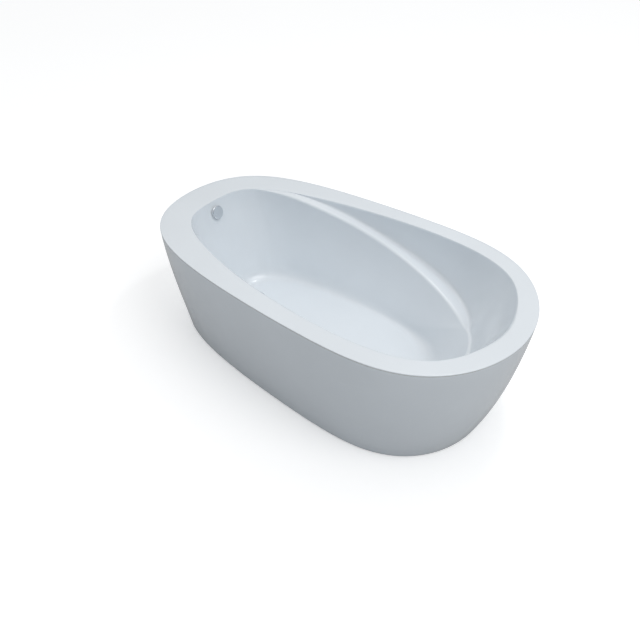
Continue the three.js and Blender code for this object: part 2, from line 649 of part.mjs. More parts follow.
function overflowKnob() {
  const low = KNOB_STANDOFF;
  const high = low + KNOB_DEEP;
  const socket = SPINDLE_RADIUS + GAP;
  const hub = SPINDLE_RADIUS + KNOB_HUB_WALL;
  const inside = KNOB_RADIUS - KNOB_WALL;
  return turned([
    [0, SPINDLE_END + GAP], [socket, SPINDLE_END + GAP], [socket, KNOB_HUB_LOW], [hub, KNOB_HUB_LOW],
    [hub, high - KNOB_WALL], [inside, high - KNOB_WALL], [inside, low], [KNOB_RADIUS, low],
    [KNOB_RADIUS, high - KNOB_BEVEL], [KNOB_RADIUS - KNOB_BEVEL, high], [0, high],
  ]);
}

function knobSpindle() {
  return rod(SPINDLE_RADIUS, CAM_BACK, SPINDLE_END, SMALL_STEPS);
}

function knobCam() {
  const disc = ring(SPINDLE_RADIUS + GAP, CAM_RADIUS, CAM_BACK, CAM_BACK + CAM_THICK);
  const pin = rod(CAM_PIN_RADIUS, CAM_BACK - CAM_PIN_LENGTH, CAM_BACK + CAM_THICK / 2, SMALL_STEPS);
  return join(disc, pin.translate(CAM_RADIUS - 2 * CAM_PIN_RADIUS, 0, 0));
}

// ---- Hose and cable ----
const OUTLET = overflowOutlet();
const HOSE_TOP = OUTLET.z - OVERFLOW_BODY_RADIUS - HOSE_TOP_GAP;
const HOSE_END_X = DRAIN_X - WASTE_RADIUS - HOSE_END_GAP;

function overflowHose() {
  const start = [OUTLET.x, 0, HOSE_TOP];
  const end = [HOSE_END_X, 0, WASTE_SIDE_Z];
  const bend = rounded(start, [[OUTLET.x, 0, WASTE_SIDE_Z]], end, [HOSE_BEND], [6]);
  return pipe([start, ...bend, end], HOSE_RADIUS, HOSE_RADIUS - HOSE_WALL, HOSE_STEPS);
}

function drainCable() {
  const start = CABLE_BOSS_REACH + GAP;
  const out = start + CABLE_OUT;
  const first = [OUTLET.x, start, OUTLET.z];
  const last = [DRAIN_X, start, WASTE_SIDE_Z];
  const corners = [[OUTLET.x, out, OUTLET.z], [OUTLET.x, out, WASTE_SIDE_Z], [DRAIN_X, out, WASTE_SIDE_Z]];
  const bends = rounded(first, corners, last, [CABLE_END_BEND, CABLE_BEND, CABLE_END_BEND], [4, 6, 4]);
  return pipe([first, ...bends, last], CABLE_RADIUS, 0, CABLE_STEPS, CABLE_SIDES);
}

// ---- Waste and stopper ----
const THROAT_BORE = DRAIN_THROAT_RADIUS - DRAIN_THROAT_WALL;
const FLANGE_TOP = FLOOR_TOP + GAP + DRAIN_FLANGE_THICK;
const DRAIN_GASKET_TOP = FLOOR_TOP - SHELL_WALL - GAP;
const WASTE_TOP = DRAIN_GASKET_TOP - GASKET_THICK - GAP;
const STEM_TOP = FLANGE_TOP;

function drainFlange() {
  const low = FLOOR_TOP - DRAIN_THROAT_LENGTH;
  const face = FLOOR_TOP + GAP;
  const cup = turned([
    [THROAT_BORE, low], [DRAIN_THROAT_RADIUS, low], [DRAIN_THROAT_RADIUS, face],
    [DRAIN_FLANGE_RADIUS, face], [DRAIN_FLANGE_RADIUS, face + DRAIN_FLANGE_EDGE],
    [DRAIN_FLANGE_RADIUS - DRAIN_FLANGE_CHAMFER, FLANGE_TOP],
    [STOPPER_SEAT_RADIUS, FLANGE_TOP], [THROAT_BORE, FLANGE_TOP - STOPPER_SEAT_DEEP],
  ]);
  const top = FLOOR_TOP - GUIDE_DROP;
  const guide = spider(THROAT_BORE, GUIDE_RADIUS, STEM_RADIUS + STEM_CLEARANCE, top - GUIDE_TALL, top);
  return cut(join(cup, ...guide.solids), guide.hole);
}

function drainGasket() {
  const outer = WASTE_RADIUS + DRAIN_GASKET_OVERHANG;
  return ring(DRAIN_HOLE_RADIUS, outer, DRAIN_GASKET_TOP - GASKET_THICK, DRAIN_GASKET_TOP);
}

function wasteBody() {
  const neck = DRAIN_THROAT_RADIUS + STUD_CLEARANCE;
  const inside = WASTE_RADIUS - WASTE_WALL;
  const shell = turned([
    [0, WASTE_FLOOR_Z], [WASTE_RADIUS, WASTE_FLOOR_Z], [WASTE_RADIUS, WASTE_TOP], [neck, WASTE_TOP],
    [neck, WASTE_TOP - WASTE_NECK_TALL], [inside, WASTE_TOP - WASTE_NECK_TALL],
    [inside, WASTE_FLOOR_Z + WASTE_WALL], [0, WASTE_FLOOR_Z + WASTE_WALL],
  ]);
  const reach = inside + 1;
  const spigot = rod(SPIGOT_RADIUS, -WASTE_RADIUS - SPIGOT_LENGTH, -reach).rotateY(Math.PI / 2);
  const spigotWay = rod(SPIGOT_BORE, -WASTE_RADIUS - SPIGOT_LENGTH - 1, 1 - inside).rotateY(Math.PI / 2);
  const boss = rod(CABLE_BOSS_RADIUS, reach, CABLE_BOSS_REACH, SMALL_STEPS).rotateX(-Math.PI / 2);
  [spigot, spigotWay, boss].forEach((piece) => piece.translate(0, 0, WASTE_SIDE_Z));
  const outlet = rod(OUTLET_RADIUS, OUTLET_BOTTOM_Z, WASTE_FLOOR_Z + 1);
  const outletWay = rod(OUTLET_RADIUS - WASTE_WALL, OUTLET_BOTTOM_Z - 1, WASTE_FLOOR_Z + WASTE_WALL + 1);
  return cut(join(shell, spigot, boss, outlet), spigotWay, outletWay);
}

function outletNut() {
  const low = OUTLET_BOTTOM_Z + OUTLET_NUT_LIFT;
  return ring(OUTLET_RADIUS + GAP, OUTLET_NUT_RADIUS, low, low + OUTLET_NUT_TALL);
}

function stopperCap() {
  const low = FLANGE_TOP + GAP;
  return turned([
    [0, low], [STOPPER_RADIUS, low], [STOPPER_RADIUS, low + STOPPER_THICK],
    [STOPPER_RADIUS * CROWN_BREAK.radius, low + STOPPER_THICK + STOPPER_CROWN * CROWN_BREAK.rise],
    [0, low + STOPPER_THICK + STOPPER_CROWN],
  ]);
}

function stopperSeal() {
  const high = FLANGE_TOP;
  return ring(STEM_RADIUS + GAP, STOPPER_SEAL_RADIUS, high - STOPPER_SEAL_THICK, high);
}

const stopperStem = () => rod(STEM_RADIUS, STEM_TOP - STEM_LENGTH, STEM_TOP, SMALL_STEPS);

function liftPin() {
  const low = WASTE_FLOOR_Z + WASTE_WALL + LIFT_PIN_GAP;
  const high = STEM_TOP - STEM_LENGTH - GAP;
  return turned([
    [0, low], [STEM_RADIUS, low],
    [STEM_RADIUS, high - LIFT_PIN_HEAD], [2 * STEM_RADIUS, high - LIFT_PIN_HEAD],
    [2 * STEM_RADIUS, high], [0, high],
  ], SMALL_STEPS);
}

// ---- Assembly ----
const tub = new THREE.Group();

function place(parent, name, geometry, material, x = 0, y = 0, z = 0) {
  const mesh = new THREE.Mesh(geometry, material);
  mesh.name = name;
  mesh.position.set(x, y, z);
  parent.add(mesh);
  return mesh;
}

function addFrame() {
  const boardZ = BOARD_TOP - BOARD_THICK / 2;
  place(tub, "floor_board", box(BOARD_LENGTH, BOARD_WIDTH, BOARD_THICK), PLYWOOD, BOARD_X, 0, boardZ);
  const railZ = RAIL_TOP - RAIL_SIZE / 2;
  place(tub, "frame_rail_near", frameRail(), STEEL_PAINT, BOARD_X, -RAIL_Y, railZ);
  place(tub, "frame_rail_far", frameRail(), STEEL_PAINT, BOARD_X, RAIL_Y, railZ);
  const crossZ = CROSS_RAIL_TOP - CROSS_RAIL_TALL / 2;
  const ends = [-FOOT_Y, FOOT_Y];
  const bolts = [-BOLT_Y, BOLT_Y];
  const [drainEnd, backrestEnd] = CROSS_RAIL_XS;
  place(tub, "cross_rail_drain_end", crossRail(ends, bolts), STEEL_PAINT, drainEnd, 0, crossZ);
  place(tub, "cross_rail_middle", crossRail([0], []), STEEL_PAINT, BOARD_X, 0, crossZ);
  place(tub, "cross_rail_backrest_end", crossRail(ends, bolts), STEEL_PAINT, backrestEnd, 0, crossZ);
}

function addFeet() {
  const corners = bracketPlaces().map(({ x, side }) => [x, side * FOOT_Y]);
  [...corners, [BOARD_X, 0]].forEach(([x, y], i) => {
    const number = i + 1;
    place(tub, `foot_pad_${number}`, footPad(), GREY_PLASTIC, x, y);
    place(tub, `foot_stud_${number}`, footStud(), ZINC, x, y);
    place(tub, `foot_lock_nut_${number}`, nut(), ZINC, x, y, CROSS_RAIL_BOTTOM - GAP - NUT_TALL);
    place(tub, `foot_weld_nut_${number}`, nut(), STEEL_PAINT, x, y, CROSS_RAIL_TOP + GAP);
  });
}

function addBrackets() {
  bracketPlaces().forEach(({ x, side }, i) => {
    const number = i + 1;
    const bracket = place(tub, `skirt_bracket_${number}`, skirtBracket(), ZINC, x);
    bracket.position.y = side * (CROSS_RAIL_LENGTH / 2 + GAP);
    bracket.rotation.z = side > 0 ? 0 : Math.PI;
    const screwZ = BRACKET_LOW + BRACKET_THICK + GAP;
    place(tub, `bracket_screw_${number}`, fastener(SCREW_LENGTH), ZINC, x, side * SCREW_Y, screwZ);
    place(tub, `bracket_bolt_${number}`, fastener(BOLT_LENGTH), ZINC, x, side * BOLT_Y, BRACKET_HIGH + GAP);
  });
}

function addOverflow() {
  place(tub, "overflow_body", overflowBody(), GREY_PLASTIC);
  const axis = new THREE.Group();
  axis.position.set(OVERFLOW.x, 0, OVERFLOW.z);
  axis.rotation.y = Math.PI / 2 - OVERFLOW.slope;
  tub.add(axis);
  place(axis, "overflow_flange", overflowFlange(), CHROME);
  place(axis, "overflow_gasket", overflowGasket(), RUBBER);
  place(axis, "overflow_knob", overflowKnob(), CHROME);
  place(axis, "knob_spindle", knobSpindle(), ZINC);
  place(axis, "knob_cam", knobCam(), GREY_PLASTIC);
  const hoseNut = () => ring(HOSE_RADIUS + GAP, HOSE_NUT_RADIUS, 0, HOSE_NUT_TALL);
  place(tub, "overflow_hose", overflowHose(), GREY_PLASTIC);
  place(tub, "hose_nut_top", hoseNut(), GREY_PLASTIC, OUTLET.x, 0, HOSE_TOP - HOSE_NUT_TALL - GAP);
  const endNut = place(tub, "hose_nut_end", hoseNut(), GREY_PLASTIC, 0, 0, WASTE_SIDE_Z);
  endNut.position.x = HOSE_END_X - HOSE_NUT_TALL - GAP;
  endNut.rotation.y = Math.PI / 2;
  place(tub, "drain_cable", drainCable(), RUBBER);
}

function addWaste() {
  const parts = [
    ["drain_flange", drainFlange(), CHROME],
    ["drain_gasket", drainGasket(), RUBBER],
    ["waste_body", wasteBody(), GREY_PLASTIC],
    ["waste_outlet_nut", outletNut(), GREY_PLASTIC],
    ["stopper_cap", stopperCap(), CHROME],
    ["stopper_seal", stopperSeal(), RUBBER],
    ["stopper_stem", stopperStem(), ZINC],
    ["stopper_lift_pin", liftPin(), ZINC],
  ];
  parts.forEach(([name, geometry, material]) => place(tub, name, geometry, material, DRAIN_X));
}

place(tub, "basin_shell", basinShell(), ACRYLIC);
place(tub, "skirt_shell", skirtShell(), ACRYLIC);
addFrame();
addFeet();
addBrackets();
addOverflow();
addWaste();

export default tub;
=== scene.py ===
"""Freestanding bathtub: fine surfaces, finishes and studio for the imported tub, laid out as a Blender add-on.

Metres, +Z up. The origin is on the floor at the middle of the tub, +X points to the backrest end and -X to
the overflow and drain end. The shapes repeat the design's own formulas with finer steps and softer corners.
"""

import json
import math

import bmesh
import bpy
import numpy as np
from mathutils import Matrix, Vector

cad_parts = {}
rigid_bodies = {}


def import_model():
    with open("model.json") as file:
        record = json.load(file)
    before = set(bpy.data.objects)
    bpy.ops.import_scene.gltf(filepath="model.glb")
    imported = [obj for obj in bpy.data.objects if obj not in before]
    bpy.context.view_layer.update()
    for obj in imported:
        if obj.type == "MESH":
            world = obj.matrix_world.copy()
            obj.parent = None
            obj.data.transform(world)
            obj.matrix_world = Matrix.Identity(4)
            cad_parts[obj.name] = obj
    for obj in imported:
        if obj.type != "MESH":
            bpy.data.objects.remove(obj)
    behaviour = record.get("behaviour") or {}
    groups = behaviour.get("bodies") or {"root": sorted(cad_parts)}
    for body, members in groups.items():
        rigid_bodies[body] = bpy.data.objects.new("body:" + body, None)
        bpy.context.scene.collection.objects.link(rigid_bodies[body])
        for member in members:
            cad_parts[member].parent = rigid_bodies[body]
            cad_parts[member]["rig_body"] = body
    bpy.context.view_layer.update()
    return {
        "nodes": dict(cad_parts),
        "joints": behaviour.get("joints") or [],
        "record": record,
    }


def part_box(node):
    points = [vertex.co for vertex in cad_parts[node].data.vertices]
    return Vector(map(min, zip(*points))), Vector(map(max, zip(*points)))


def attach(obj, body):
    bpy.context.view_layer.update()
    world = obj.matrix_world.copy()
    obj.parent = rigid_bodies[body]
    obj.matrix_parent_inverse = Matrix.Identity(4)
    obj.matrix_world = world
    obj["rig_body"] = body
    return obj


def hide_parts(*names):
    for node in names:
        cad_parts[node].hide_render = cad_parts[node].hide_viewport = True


bl_info = {
    "name": "Freestanding bathtub",
    "version": (1, 0, 0),
    "blender": (4, 5, 0),
    "location": "3D View > Sidebar > Bathtub",
    "description": "Builds the visible pieces, finishes and studio of a freestanding bathtub",
    "category": "Object",
}

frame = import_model()
NODES = frame["nodes"]
JOINTS = {joint["name"]: joint for joint in frame["joints"]}

TURN = 2 * math.pi

# ---- Sizes of the tub, in metres ----
RIM_LOW, RIM_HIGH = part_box("basin_shell")
RIM_LENGTH = RIM_HIGH.x - RIM_LOW.x
RIM_WIDTH = RIM_HIGH.y - RIM_LOW.y
RIM_HEIGHT = RIM_HIGH.z
SHELL_WALL = 0.006
GAP = 0.0003

RIM_SHAPE = {"x2": -0.055, "x3": -0.0074, "x4": 0.022, "y2": 0.031, "y3": 0.077, "y4": 0.0}
WELL_SHAPE = {"x2": -0.125, "x3": -0.094, "x4": 0.039, "y2": -0.004, "y3": -0.05, "y4": -0.012}
FLOOR_SHAPE = {"x2": -0.02, "x3": 0.0, "x4": 0.0, "y2": 0.0, "y3": 0.08, "y4": 0.0}

DECK_AT_DRAIN_END = 0.150
DECK_AT_BACKREST = 0.079
DECK_AT_SIDES = 0.078
FLOOR_TOP = 0.100
DRAIN_END_RUN = 0.125
BACKREST_RUN = 0.296
SIDE_RUN = 0.131

# The ledge: (from, to, by) is how a size grows round the well, in degrees from the backrest end.
LEDGE_DEPTH = (131, 62, 0.248)
WALL_LEAN = (91, 48, 0.126)
LIP_START = (148, 116, 0.046)
LIP_SWELL = (110, 54, 0.097)
LEDGE_BEGINS = (156, 140, 1.0)
LEDGE_ENDS = (-10, -75, 1.0)
LEDGE_LEAST = 0.0015
SIDE_DRAFT = 0.02

SKIRT_WALL = 0.005
SKIRT_LIFT = 0.002
SKIRT_TOP_FLANGE = 0.032
SKIRT_BASE_FLANGE = 0.020
BASE_END_TAPER = 0.144
BASE_SIDE_TAPER = 0.151
BASE_SHIFT_X = -0.033
BASE_EGG = 0.05
BEND_LENGTH, BEND_WIDTH, BEND_SHIFT = 1.3, 1.86, 3.5

WELL_LOW_X = -RIM_LENGTH / 2 + DECK_AT_DRAIN_END
WELL_HIGH_X = RIM_LENGTH / 2 - DECK_AT_BACKREST
WELL_WIDTH = RIM_WIDTH - 2 * DECK_AT_SIDES
FLOOR_LOW_X = WELL_LOW_X + DRAIN_END_RUN
FLOOR_HIGH_X = WELL_HIGH_X - BACKREST_RUN
FLOOR_WIDTH = WELL_WIDTH - 2 * SIDE_RUN
DECK_UNDERSIDE = RIM_HEIGHT - SHELL_WALL

DRAIN_LOW, DRAIN_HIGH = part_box("drain_flange")
DRAIN_X = (DRAIN_LOW.x + DRAIN_HIGH.x) / 2
DRAIN_HOLE_RADIUS = 0.027

OVERFLOW_SEAT = np.array(JOINTS["knob_turn"]["pos_m"])
OVERFLOW_AXIS = np.array(JOINTS["knob_turn"]["axis"])
OVERFLOW_AXIS = OVERFLOW_AXIS / np.linalg.norm(OVERFLOW_AXIS)
OVERFLOW_SLOPE = math.atan2(OVERFLOW_AXIS[2], OVERFLOW_AXIS[0])
OVERFLOW_WALL = SHELL_WALL * (math.cos(OVERFLOW_SLOPE) + math.sin(OVERFLOW_SLOPE))
OVERFLOW_HOLE_RADIUS = 0.025
SEAT_FLAT_RADIUS = 0.033
SEAT_BLEND_RADIUS = 0.043

OUTLINE_STEPS = 288
ROUND_STEPS = 72
SMALL_STEPS = 40
FINE_STEPS = 128

# The most of a straight run that the curve at one of its ends may take: of the first or last, of any other.
END_RUN_SHARE = 0.9
INNER_RUN_SHARE = 0.45

# Edges sharper than this many degrees stay sharp in the shading; points nearer than this are one point.
SHARP_ANGLE = 38
SAME_POINT = 1e-6


# ---- What a user would change ----
def size_property(name, description, default):
    return bpy.props.FloatProperty(name=name, description=description, default=default,
                                   min=0.0, unit="LENGTH", subtype="DISTANCE", precision=4)


def colour_property(name, description, default):
    return bpy.props.FloatVectorProperty(name=name, description=description, default=default,
                                         subtype="COLOR", size=3, min=0.0, max=1.0)


def share_property(name, description, default):
    return bpy.props.FloatProperty(name=name, description=description, default=default,
                                   min=0.0, max=1.0, subtype="FACTOR")


class TubSizes(bpy.types.PropertyGroup):
    """How softly the moulded corners turn."""

    floor_round: size_property("Floor corner", "Length of the curve from floor to wall", 0.062)
    lip_round: size_property("Ledge lip", "Length of the curve over the ledge's inner lip", 0.014)
    ledge_round: size_property("Ledge foot", "Length of the curve from upper wall to ledge", 0.018)
    well_round: size_property("Well edge", "Length of the curve from the deck into the well", 0.010)
    rim_round: size_property("Outer edge", "Length of the curve over the deck's outer edge", 0.003)
    base_round: size_property("Base edge", "Length of the curve under the skirt's base", 0.004)


class TubFinish(bpy.types.PropertyGroup):
    """Colours and gloss of the finishes."""

    acrylic: colour_property("Acrylic", "Colour of the moulded acrylic", (0.80, 0.845, 0.885))
    acrylic_roughness: share_property("Acrylic roughness", "Roughness of the acrylic's gloss", 0.24)
    fibre: colour_property("Fibre backing", "Colour of the glass-fibre backing", (0.50, 0.47, 0.40))
    chrome: colour_property("Chrome", "Colour of the plated fittings", (0.83, 0.85, 0.87))
    chrome_roughness: share_property("Chrome roughness", "Roughness of the plating", 0.09)
    rubber: colour_property("Rubber", "Colour of seals and gaskets", (0.022, 0.022, 0.024))
    sleeve: colour_property("Cable sleeve", "Colour of the cable's sleeve", (0.03, 0.031, 0.034))
    plastic: colour_property("Moulded plastic", "Colour of the waste fittings", (0.29, 0.31, 0.33))
    paint: colour_property("Powder coat", "Colour of the painted frame", (0.055, 0.06, 0.066))
    zinc: colour_property("Zinc plate", "Colour of the plated steel", (0.60, 0.61, 0.60))
    ply_light: colour_property("Plywood, light", "Colour between the wood's grain lines", (0.56, 0.38, 0.21))
    ply_dark: colour_property("Plywood, dark", "Colour of the wood's grain lines", (0.36, 0.21, 0.10))


class TubStudio(bpy.types.PropertyGroup):
    """Camera, floor and light."""

    camera_place: bpy.props.FloatVectorProperty(
        name="Camera place", description="Where the camera stands", size=3,
        default=(1.2682, -1.7112, 1.9973), subtype="TRANSLATION", unit="LENGTH")
    camera_target: bpy.props.FloatVectorProperty(
        name="Camera target", description="The point that the camera looks at", size=3,
        default=(0.0337, -0.1324, 0.2890), subtype="TRANSLATION", unit="LENGTH")
    lens: bpy.props.FloatProperty(
        name="Lens", description="Focal length on a 36 mm wide sensor", default=34.98, unit="CAMERA")
    floor: colour_property("Floor", "Colour of the studio floor", (0.92, 0.92, 0.92))
    floor_glow: bpy.props.FloatProperty(
        name="Floor glow", description="Brightness added to the floor where the camera sees it", default=0.30)
    floor_bounce: share_property("Floor bounce", "Share of the floor's colour that lights the tub", 0.62)
    key_power: bpy.props.FloatProperty(
        name="Key light", description="Power of the large soft light overhead", default=195.0, unit="POWER")
    glint_power: bpy.props.FloatProperty(
        name="Small light", description="Power of the small light that makes the glints", default=9.0,
        unit="POWER")
    sky_top: bpy.props.FloatProperty(
        name="Light from above", description="Brightness of the surroundings overhead", default=0.94)
    sky_low: bpy.props.FloatProperty(
        name="Light from the sides", description="Brightness at the horizon", default=0.26)


# ---- Curves and outlines ----
def outline(shape, low_x, high_x, width, steps=OUTLINE_STEPS):
    """An egg seen from above, at angles a: x is (1 - x3) cos a + x3 cos 3a + x2 (cos 2a - 1) +
    x4 (cos 4a - 1) and y is sin a + y2 sin 2a + y3 sin 3a + y4 sin 4a, stretched to the ends and width."""
    a = TURN * np.arange(steps) / steps
    x = ((1 - shape["x3"]) * np.cos(a) + shape["x3"] * np.cos(3 * a)
         + shape["x2"] * (np.cos(2 * a) - 1) + shape["x4"] * (np.cos(4 * a) - 1))
    y = (np.sin(a) + shape["y2"] * np.sin(2 * a) + shape["y3"] * np.sin(3 * a)
         + shape["y4"] * np.sin(4 * a))
    middle, half = (low_x + high_x) / 2, (high_x - low_x) / 2
    return np.stack([middle + half * x, y * width / 2 / y.max()], axis=-1)


def outwards(points):
    """The direction square to a closed outline at each of its points: the chord between the two neighbours,
    turned a quarter clockwise. Works on the last but one axis."""
    run = np.roll(points, -1, axis=-2) - np.roll(points, 1, axis=-2)
    run /= np.linalg.norm(run, axis=-1, keepdims=True)
    return np.stack([run[..., 1], -run[..., 0]], axis=-1)


def eased(share):
    """0 below 0, 1 above 1 and 3 s^2 - 2 s^3 in between."""
    share = np.clip(share, 0, 1)
    return share * share * (3 - 2 * share)


def grown(rule, place):
    """A size that grows smoothly from nothing at the first place to its full value at the second."""
    start, stop, by = rule
    return by * eased((start - place) / (start - stop))


def with_z(points, z):
    """Flat points with a height, or a height for each, as their third number."""
    heights = np.broadcast_to(np.asarray(z, float).reshape(-1, 1), (len(points), 1))
    return np.concatenate([points, heights], axis=1)


def rounded(chain, cuts, curve_steps=6, span_steps=1):
    """Rows of points along a chain of corners. Each inner corner becomes a parabola that starts `cut` before
    it and ends `cut` after it; the straight runs between are divided evenly."""
    cuts = np.broadcast_to(cuts, (len(chain) - 2,))
    curves = np.broadcast_to(curve_steps, (len(chain) - 2,))
    spans = np.broadcast_to(span_steps, (len(chain) - 1,))
    rows, last = [], chain[0]
    for i in range(1, len(chain) - 1):
        before, after = chain[i - 1] - chain[i], chain[i + 1] - chain[i]
        long_before = np.maximum(np.linalg.norm(before, axis=-1, keepdims=True), 1e-9)
        long_after = np.maximum(np.linalg.norm(after, axis=-1, keepdims=True), 1e-9)
        first_limit = END_RUN_SHARE if i == 1 else INNER_RUN_SHARE
        last_limit = END_RUN_SHARE if i == len(chain) - 2 else INNER_RUN_SHARE
        reach = np.minimum(cuts[i - 1], np.minimum(first_limit * long_before, last_limit * long_after))
        start = chain[i] + before / long_before * reach
        end = chain[i] + after / long_after * reach
        rows += [last + (start - last) * t for t in np.arange(spans[i - 1]) / spans[i - 1]]
        bend = np.arange(curves[i - 1]) / curves[i - 1]
        rows += [(1 - t) ** 2 * start + 2 * t * (1 - t) * chain[i] + t * t * end for t in bend]
        last = end
    rows += [last + (chain[-1] - last) * t for t in np.linspace(0, 1, spans[-1] + 1)]
    return np.stack(rows)


def profile(points, cut, closed=True, curve_steps=4):
    """A flat profile of (radius, height) corners, each rounded by the same cut."""
    corners = [np.array([point], float) for point in points]
    if closed:
        middle = (corners[0] + corners[-1]) / 2
        return rounded([middle, *corners, middle], cut, curve_steps)[:-1, 0]
    return rounded(corners, cut, curve_steps)[:, 0]


# ---- Meshes from grids ----
def signed_volume(rows, wrap):
    """Six times the volume inside a closed grid, positive where its quads turn outwards."""
    below = rows if wrap else rows[:-1]
    above = np.roll(rows, -1, axis=0) if wrap else rows[1:]
    a, b = below, np.roll(below, -1, axis=1)
    c, d = np.roll(above, -1, axis=1), above
    return np.sum(np.cross(a, b) * c) + np.sum(np.cross(a, c) * d)


def quads_of(row_count, column_count, wrap):
    """Corner numbers of the quads of a grid whose columns close on themselves, and whose rows may too."""
    row = np.arange(row_count if wrap else row_count - 1)[:, None]
    column = np.arange(column_count)[None, :]
    next_row, next_column = (row + 1) % row_count, (column + 1) % column_count
    corners = [row * column_count + column, row * column_count + next_column,
               next_row * column_count + next_column, next_row * column_count + column]
    return np.stack(corners, axis=-1).reshape(-1, 4)


def new_mesh(name, grids, sharp=SHARP_ANGLE):
    """One mesh from grids of rows x columns x 3 points, each with a flag that says whether its rows close.
    Every grid is turned outwards; rows that have shrunk to a point become poles when doubles are merged."""
    vertices, faces, first = [], [], 0
    for rows, wrap in grids:
        quads = quads_of(*rows.shape[:2], wrap) + first
        faces.append(quads if signed_volume(rows, wrap) > 0 else quads[:, ::-1])
        vertices.append(rows.reshape(-1, 3))
        first += vertices[-1].shape[0]
    mesh = bpy.data.meshes.new(name)
    mesh.from_pydata(np.concatenate(vertices), [], np.concatenate(faces))
    merged = bmesh.new()
    merged.from_mesh(mesh)
    bmesh.ops.remove_doubles(merged, verts=merged.verts, dist=SAME_POINT)
    bmesh.ops.dissolve_degenerate(merged, edges=merged.edges, dist=SAME_POINT / 10)
    merged.to_mesh(mesh)
    merged.free()
    finish_mesh(mesh, sharp)
    return mesh


def finish_mesh(mesh, sharp):
    """Smooth shading, apart from edges that turn by more than the sharp angle."""
    mesh.shade_smooth()
    mesh.set_sharp_from_angle(angle=math.radians(sharp))
    mesh.update()


def new_object(mesh):
    piece = bpy.data.objects.new(mesh.name, mesh)
    bpy.context.scene.collection.objects.link(piece)
    return piece


def carved(piece, tools, sharp=SHARP_ANGLE):
    """The piece with each (operation, grids) of closed grids joined on or cut away, as a plain mesh."""
    helpers = []
    for number, (operation, grids) in enumerate(tools):
        helper = new_object(new_mesh(f"{piece.name}_tool_{number}", grids))
        modifier = piece.modifiers.new(f"tool_{number}", "BOOLEAN")
        modifier.operation = operation
        modifier.solver = "EXACT"
        modifier.object = helper
        helpers.append(helper)
    bpy.context.view_layer.update()
    made = bpy.data.meshes.new_from_object(piece.evaluated_get(bpy.context.evaluated_depsgraph_get()))
    piece.modifiers.clear()
    name, old = piece.name, piece.data
    piece.data = made
    bpy.data.meshes.remove(old)
    made.name = name
    for helper in helpers:
        mesh = helper.data
        bpy.data.objects.remove(helper)
        bpy.data.meshes.remove(mesh)
    if not made.polygons:
        raise RuntimeError(f"{name} vanished when its openings were cut")
    finish_mesh(made, sharp)
    return piece


def moved(rows, x=0.0, y=0.0, z=0.0):
    """The same points, each with (x, y, z) added."""
    return rows + np.array([x, y, z])


def turned(points, steps=ROUND_STEPS):
    """A profile of (radius, height) points carried round Z: rows are the profile's points."""
    a = TURN * np.arange(steps) / steps
    r, z = points[:, 0, None], points[:, 1, None]
    return np.stack([r * np.cos(a), r * np.sin(a), z + 0 * a], axis=-1)


def rod(radius, low, high, cut=0.0005, steps=SMALL_STEPS):
    """A round bar along Z with softened ends, as one open grid that closes at two poles."""
    corners = [(0, low), (radius, low), (radius, high), (0, high)]
    return turned(profile(corners, cut, closed=False), steps), False


def ring(inner, outer, low, high, cut=0.0005, steps=ROUND_STEPS):
    """A washer along Z: a rectangle from the inner to the outer radius, its corners softened, turned."""
    corners = [(inner, low), (outer, low), (outer, high), (inner, high)]
    return turned(profile(corners, cut), steps), True


def bar(low, high, cut=0.0006):
    """A box with softened upright corners: a rounded rectangle carried from its lowest to highest face."""
    corners = [(low[0], low[1]), (high[0], low[1]), (high[0], high[1]), (low[0], high[1])]
    section = profile(corners, cut, curve_steps=3)
    middle = section.mean(axis=0)
    shares = [(0, low[2]), (1, low[2]), (1, high[2]), (0, high[2])]
    return np.stack([with_z(middle + (section - middle) * share, z) for share, z in shares]), False


def tipped(rows, axis, origin=(0, 0, 0)):
    """Rows with their Z laid along an axis in the XZ plane, their Y kept, and moved to an origin."""
    along = np.asarray(axis, float)
    side = np.array([0.0, 1.0, 0.0])
    across = np.cross(side, along)
    return rows[..., :1] * across + rows[..., 1:2] * side + rows[..., 2:] * along + np.asarray(origin, float)


def on_overflow_axis(grid):
    """A grid with its Z laid along the overflow's axis: 0 at the face of the wall, positive in the well."""
    rows, wrap = grid
    return tipped(rows, OVERFLOW_AXIS, OVERFLOW_SEAT), wrap


def upright_y(grid, x, z):
    """A grid with its Z laid along +Y."""
    rows, wrap = grid
    return np.stack([rows[..., 0], rows[..., 2], -rows[..., 1]], axis=-1) + np.array([x, 0, z]), wrap


def along_path(path, radius, inner, sides=32):
    """A pipe along a path of points: at each point a ring of the given radius, square to the path, outside
    and, going back, inside. The ring's first direction is the path's direction crossed with a fixed slant."""
    run = np.gradient(path, axis=0)
    run /= np.linalg.norm(run, axis=1, keepdims=True)
    first = np.cross(run, np.array([1.0, 1.0, 1.0]))
    first /= np.linalg.norm(first, axis=1, keepdims=True)
    second = np.cross(run, first)
    a = TURN * np.arange(sides)[None, :, None] / sides
    spoke = np.cos(a) * first[:, None] + np.sin(a) * second[:, None]
    outside = path[:, None] + spoke * np.broadcast_to(radius, (len(path),))[:, None, None]
    if inner is None:
        ends = [path[:1, None] + 0 * spoke[:1], path[-1:, None] + 0 * spoke[:1]]
        return np.concatenate([ends[0], outside, ends[1]]), False
    inside = path[:, None] + spoke * inner
    return np.concatenate([outside, inside[::-1]]), True


def evenly(points, count):
    """The same line with `count` points an equal distance apart."""
    steps = np.linalg.norm(np.diff(points, axis=0), axis=1)
    reach = np.concatenate([[0], np.cumsum(steps)])
    places = np.linspace(0, reach[-1], count)
    return np.stack([np.interp(places, reach, points[:, k]) for k in range(3)], axis=1), reach[-1]


